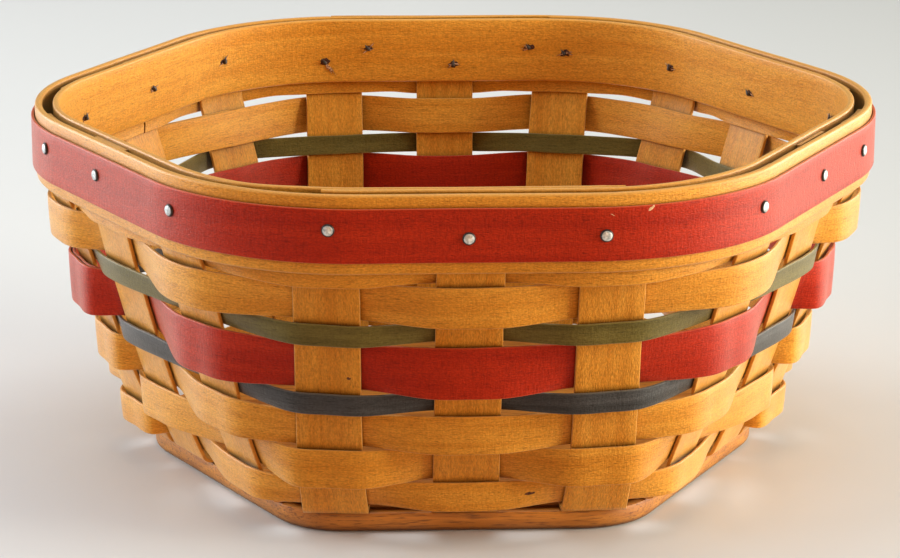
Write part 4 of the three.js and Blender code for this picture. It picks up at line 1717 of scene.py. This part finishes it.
def finishes() -> dict[Slot, Material]:
    """Make the material of every slot.

    Returns:
        The materials by slot.
    """
    splints = {
        Slot.NATURAL: SplintFinish(
            "varnished_maple_splint", "#EDAE44", "#DC9630", "#B9701C", "#783D0C", "#E2A858",
            wear=0.5, roughness=0.42, coat=1.0, tick=0.12,
        ),
        Slot.RED: SplintFinish(
            "red_stained_maple_splint", "#C23213", "#AD240B", "#8F1806", "#5E0B04", "#D9683E",
            wear=0.45, roughness=0.44, coat=0.8, tick=0.3,
        ),
        Slot.GREEN: SplintFinish(
            "green_stained_maple_splint", "#7A7038", "#5F5726", "#443D14", "#282209", "#968A52",
            wear=0.4, roughness=0.46, coat=0.8, tick=0.15,
        ),
        Slot.BLUE: SplintFinish(
            "blue_stained_maple_splint", "#56595C", "#323436", "#222325", "#131315", "#7C7C77",
            wear=0.4, roughness=0.46, coat=0.8, tick=0.15,
        ),
    }
    looks = {**splints, Slot.BOARD: BoardFinish(), Slot.STEEL: SteelFinish()}
    return {slot: look.build() for slot, look in looks.items()}


def main() -> None:
    """Build the whole scene around the frame."""
    logging.basicConfig(level=logging.INFO, format="%(message)s")
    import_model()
    bpy.context.scene.view_settings.view_transform = "Standard"
    materials = finishes()
    wall = Wall()

    dress(Board().build(), materials[Slot.BOARD], Slot.BOARD, "base_board")
    uprights = Uprights(wall)
    rows = WovenRows(wall)
    rim = Rim(wall)
    strips = [(f"upright_{side_and_number(i)}", Slot.NATURAL, uprights.build(i)) for i in range(COUNT)]
    strips += [(row.name, row.slot, rows.build(row)) for row in ROWS]
    strips += [
        ("outer_rim_band", Slot.NATURAL, rim.build_outer()),
        ("inner_rim_band", Slot.NATURAL, rim.build_inner()),
        ("red_rim_trim", Slot.RED, rim.build_trim()),
    ]
    for node, slot, piece in strips:
        dress(piece, materials[slot], slot, node)
    tacks = Tacks(wall, rim)
    for place in tacks.places():
        dress(tacks.build(place), materials[Slot.STEEL], Slot.STEEL, place.node)

    stains, splinters = Clinches(rim, tacks).build()
    dress(stains, PlainFinish("rust_stained_maple", "#5C2C14", "#2A120A").build(), Slot.NATURAL)
    dress(splinters, PlainFinish("torn_maple_fibre", "#D8B08C", "#7A4A2A").build(), Slot.NATURAL)

    bpy.context.view_layer.update()
    carriers = {node: piece for node, _, piece in strips}
    streaked = PlainFinish("mineral_streaked_maple", "#6A3814", "#3A1C0A").build()
    bare = PlainFinish("bare_chipped_maple", "#F4D8B0", "#DDB27C").build()
    for mark in MARKS:
        piece = SmallMarks().build(mark, carriers[mark.carrier])
        dress(piece, bare if mark.bare else streaked, Slot.NATURAL)

    studio = Studio()
    studio.build_camera()
    studio.build_light()
    studio.build_floor()


if __name__ == "__main__":
    main()
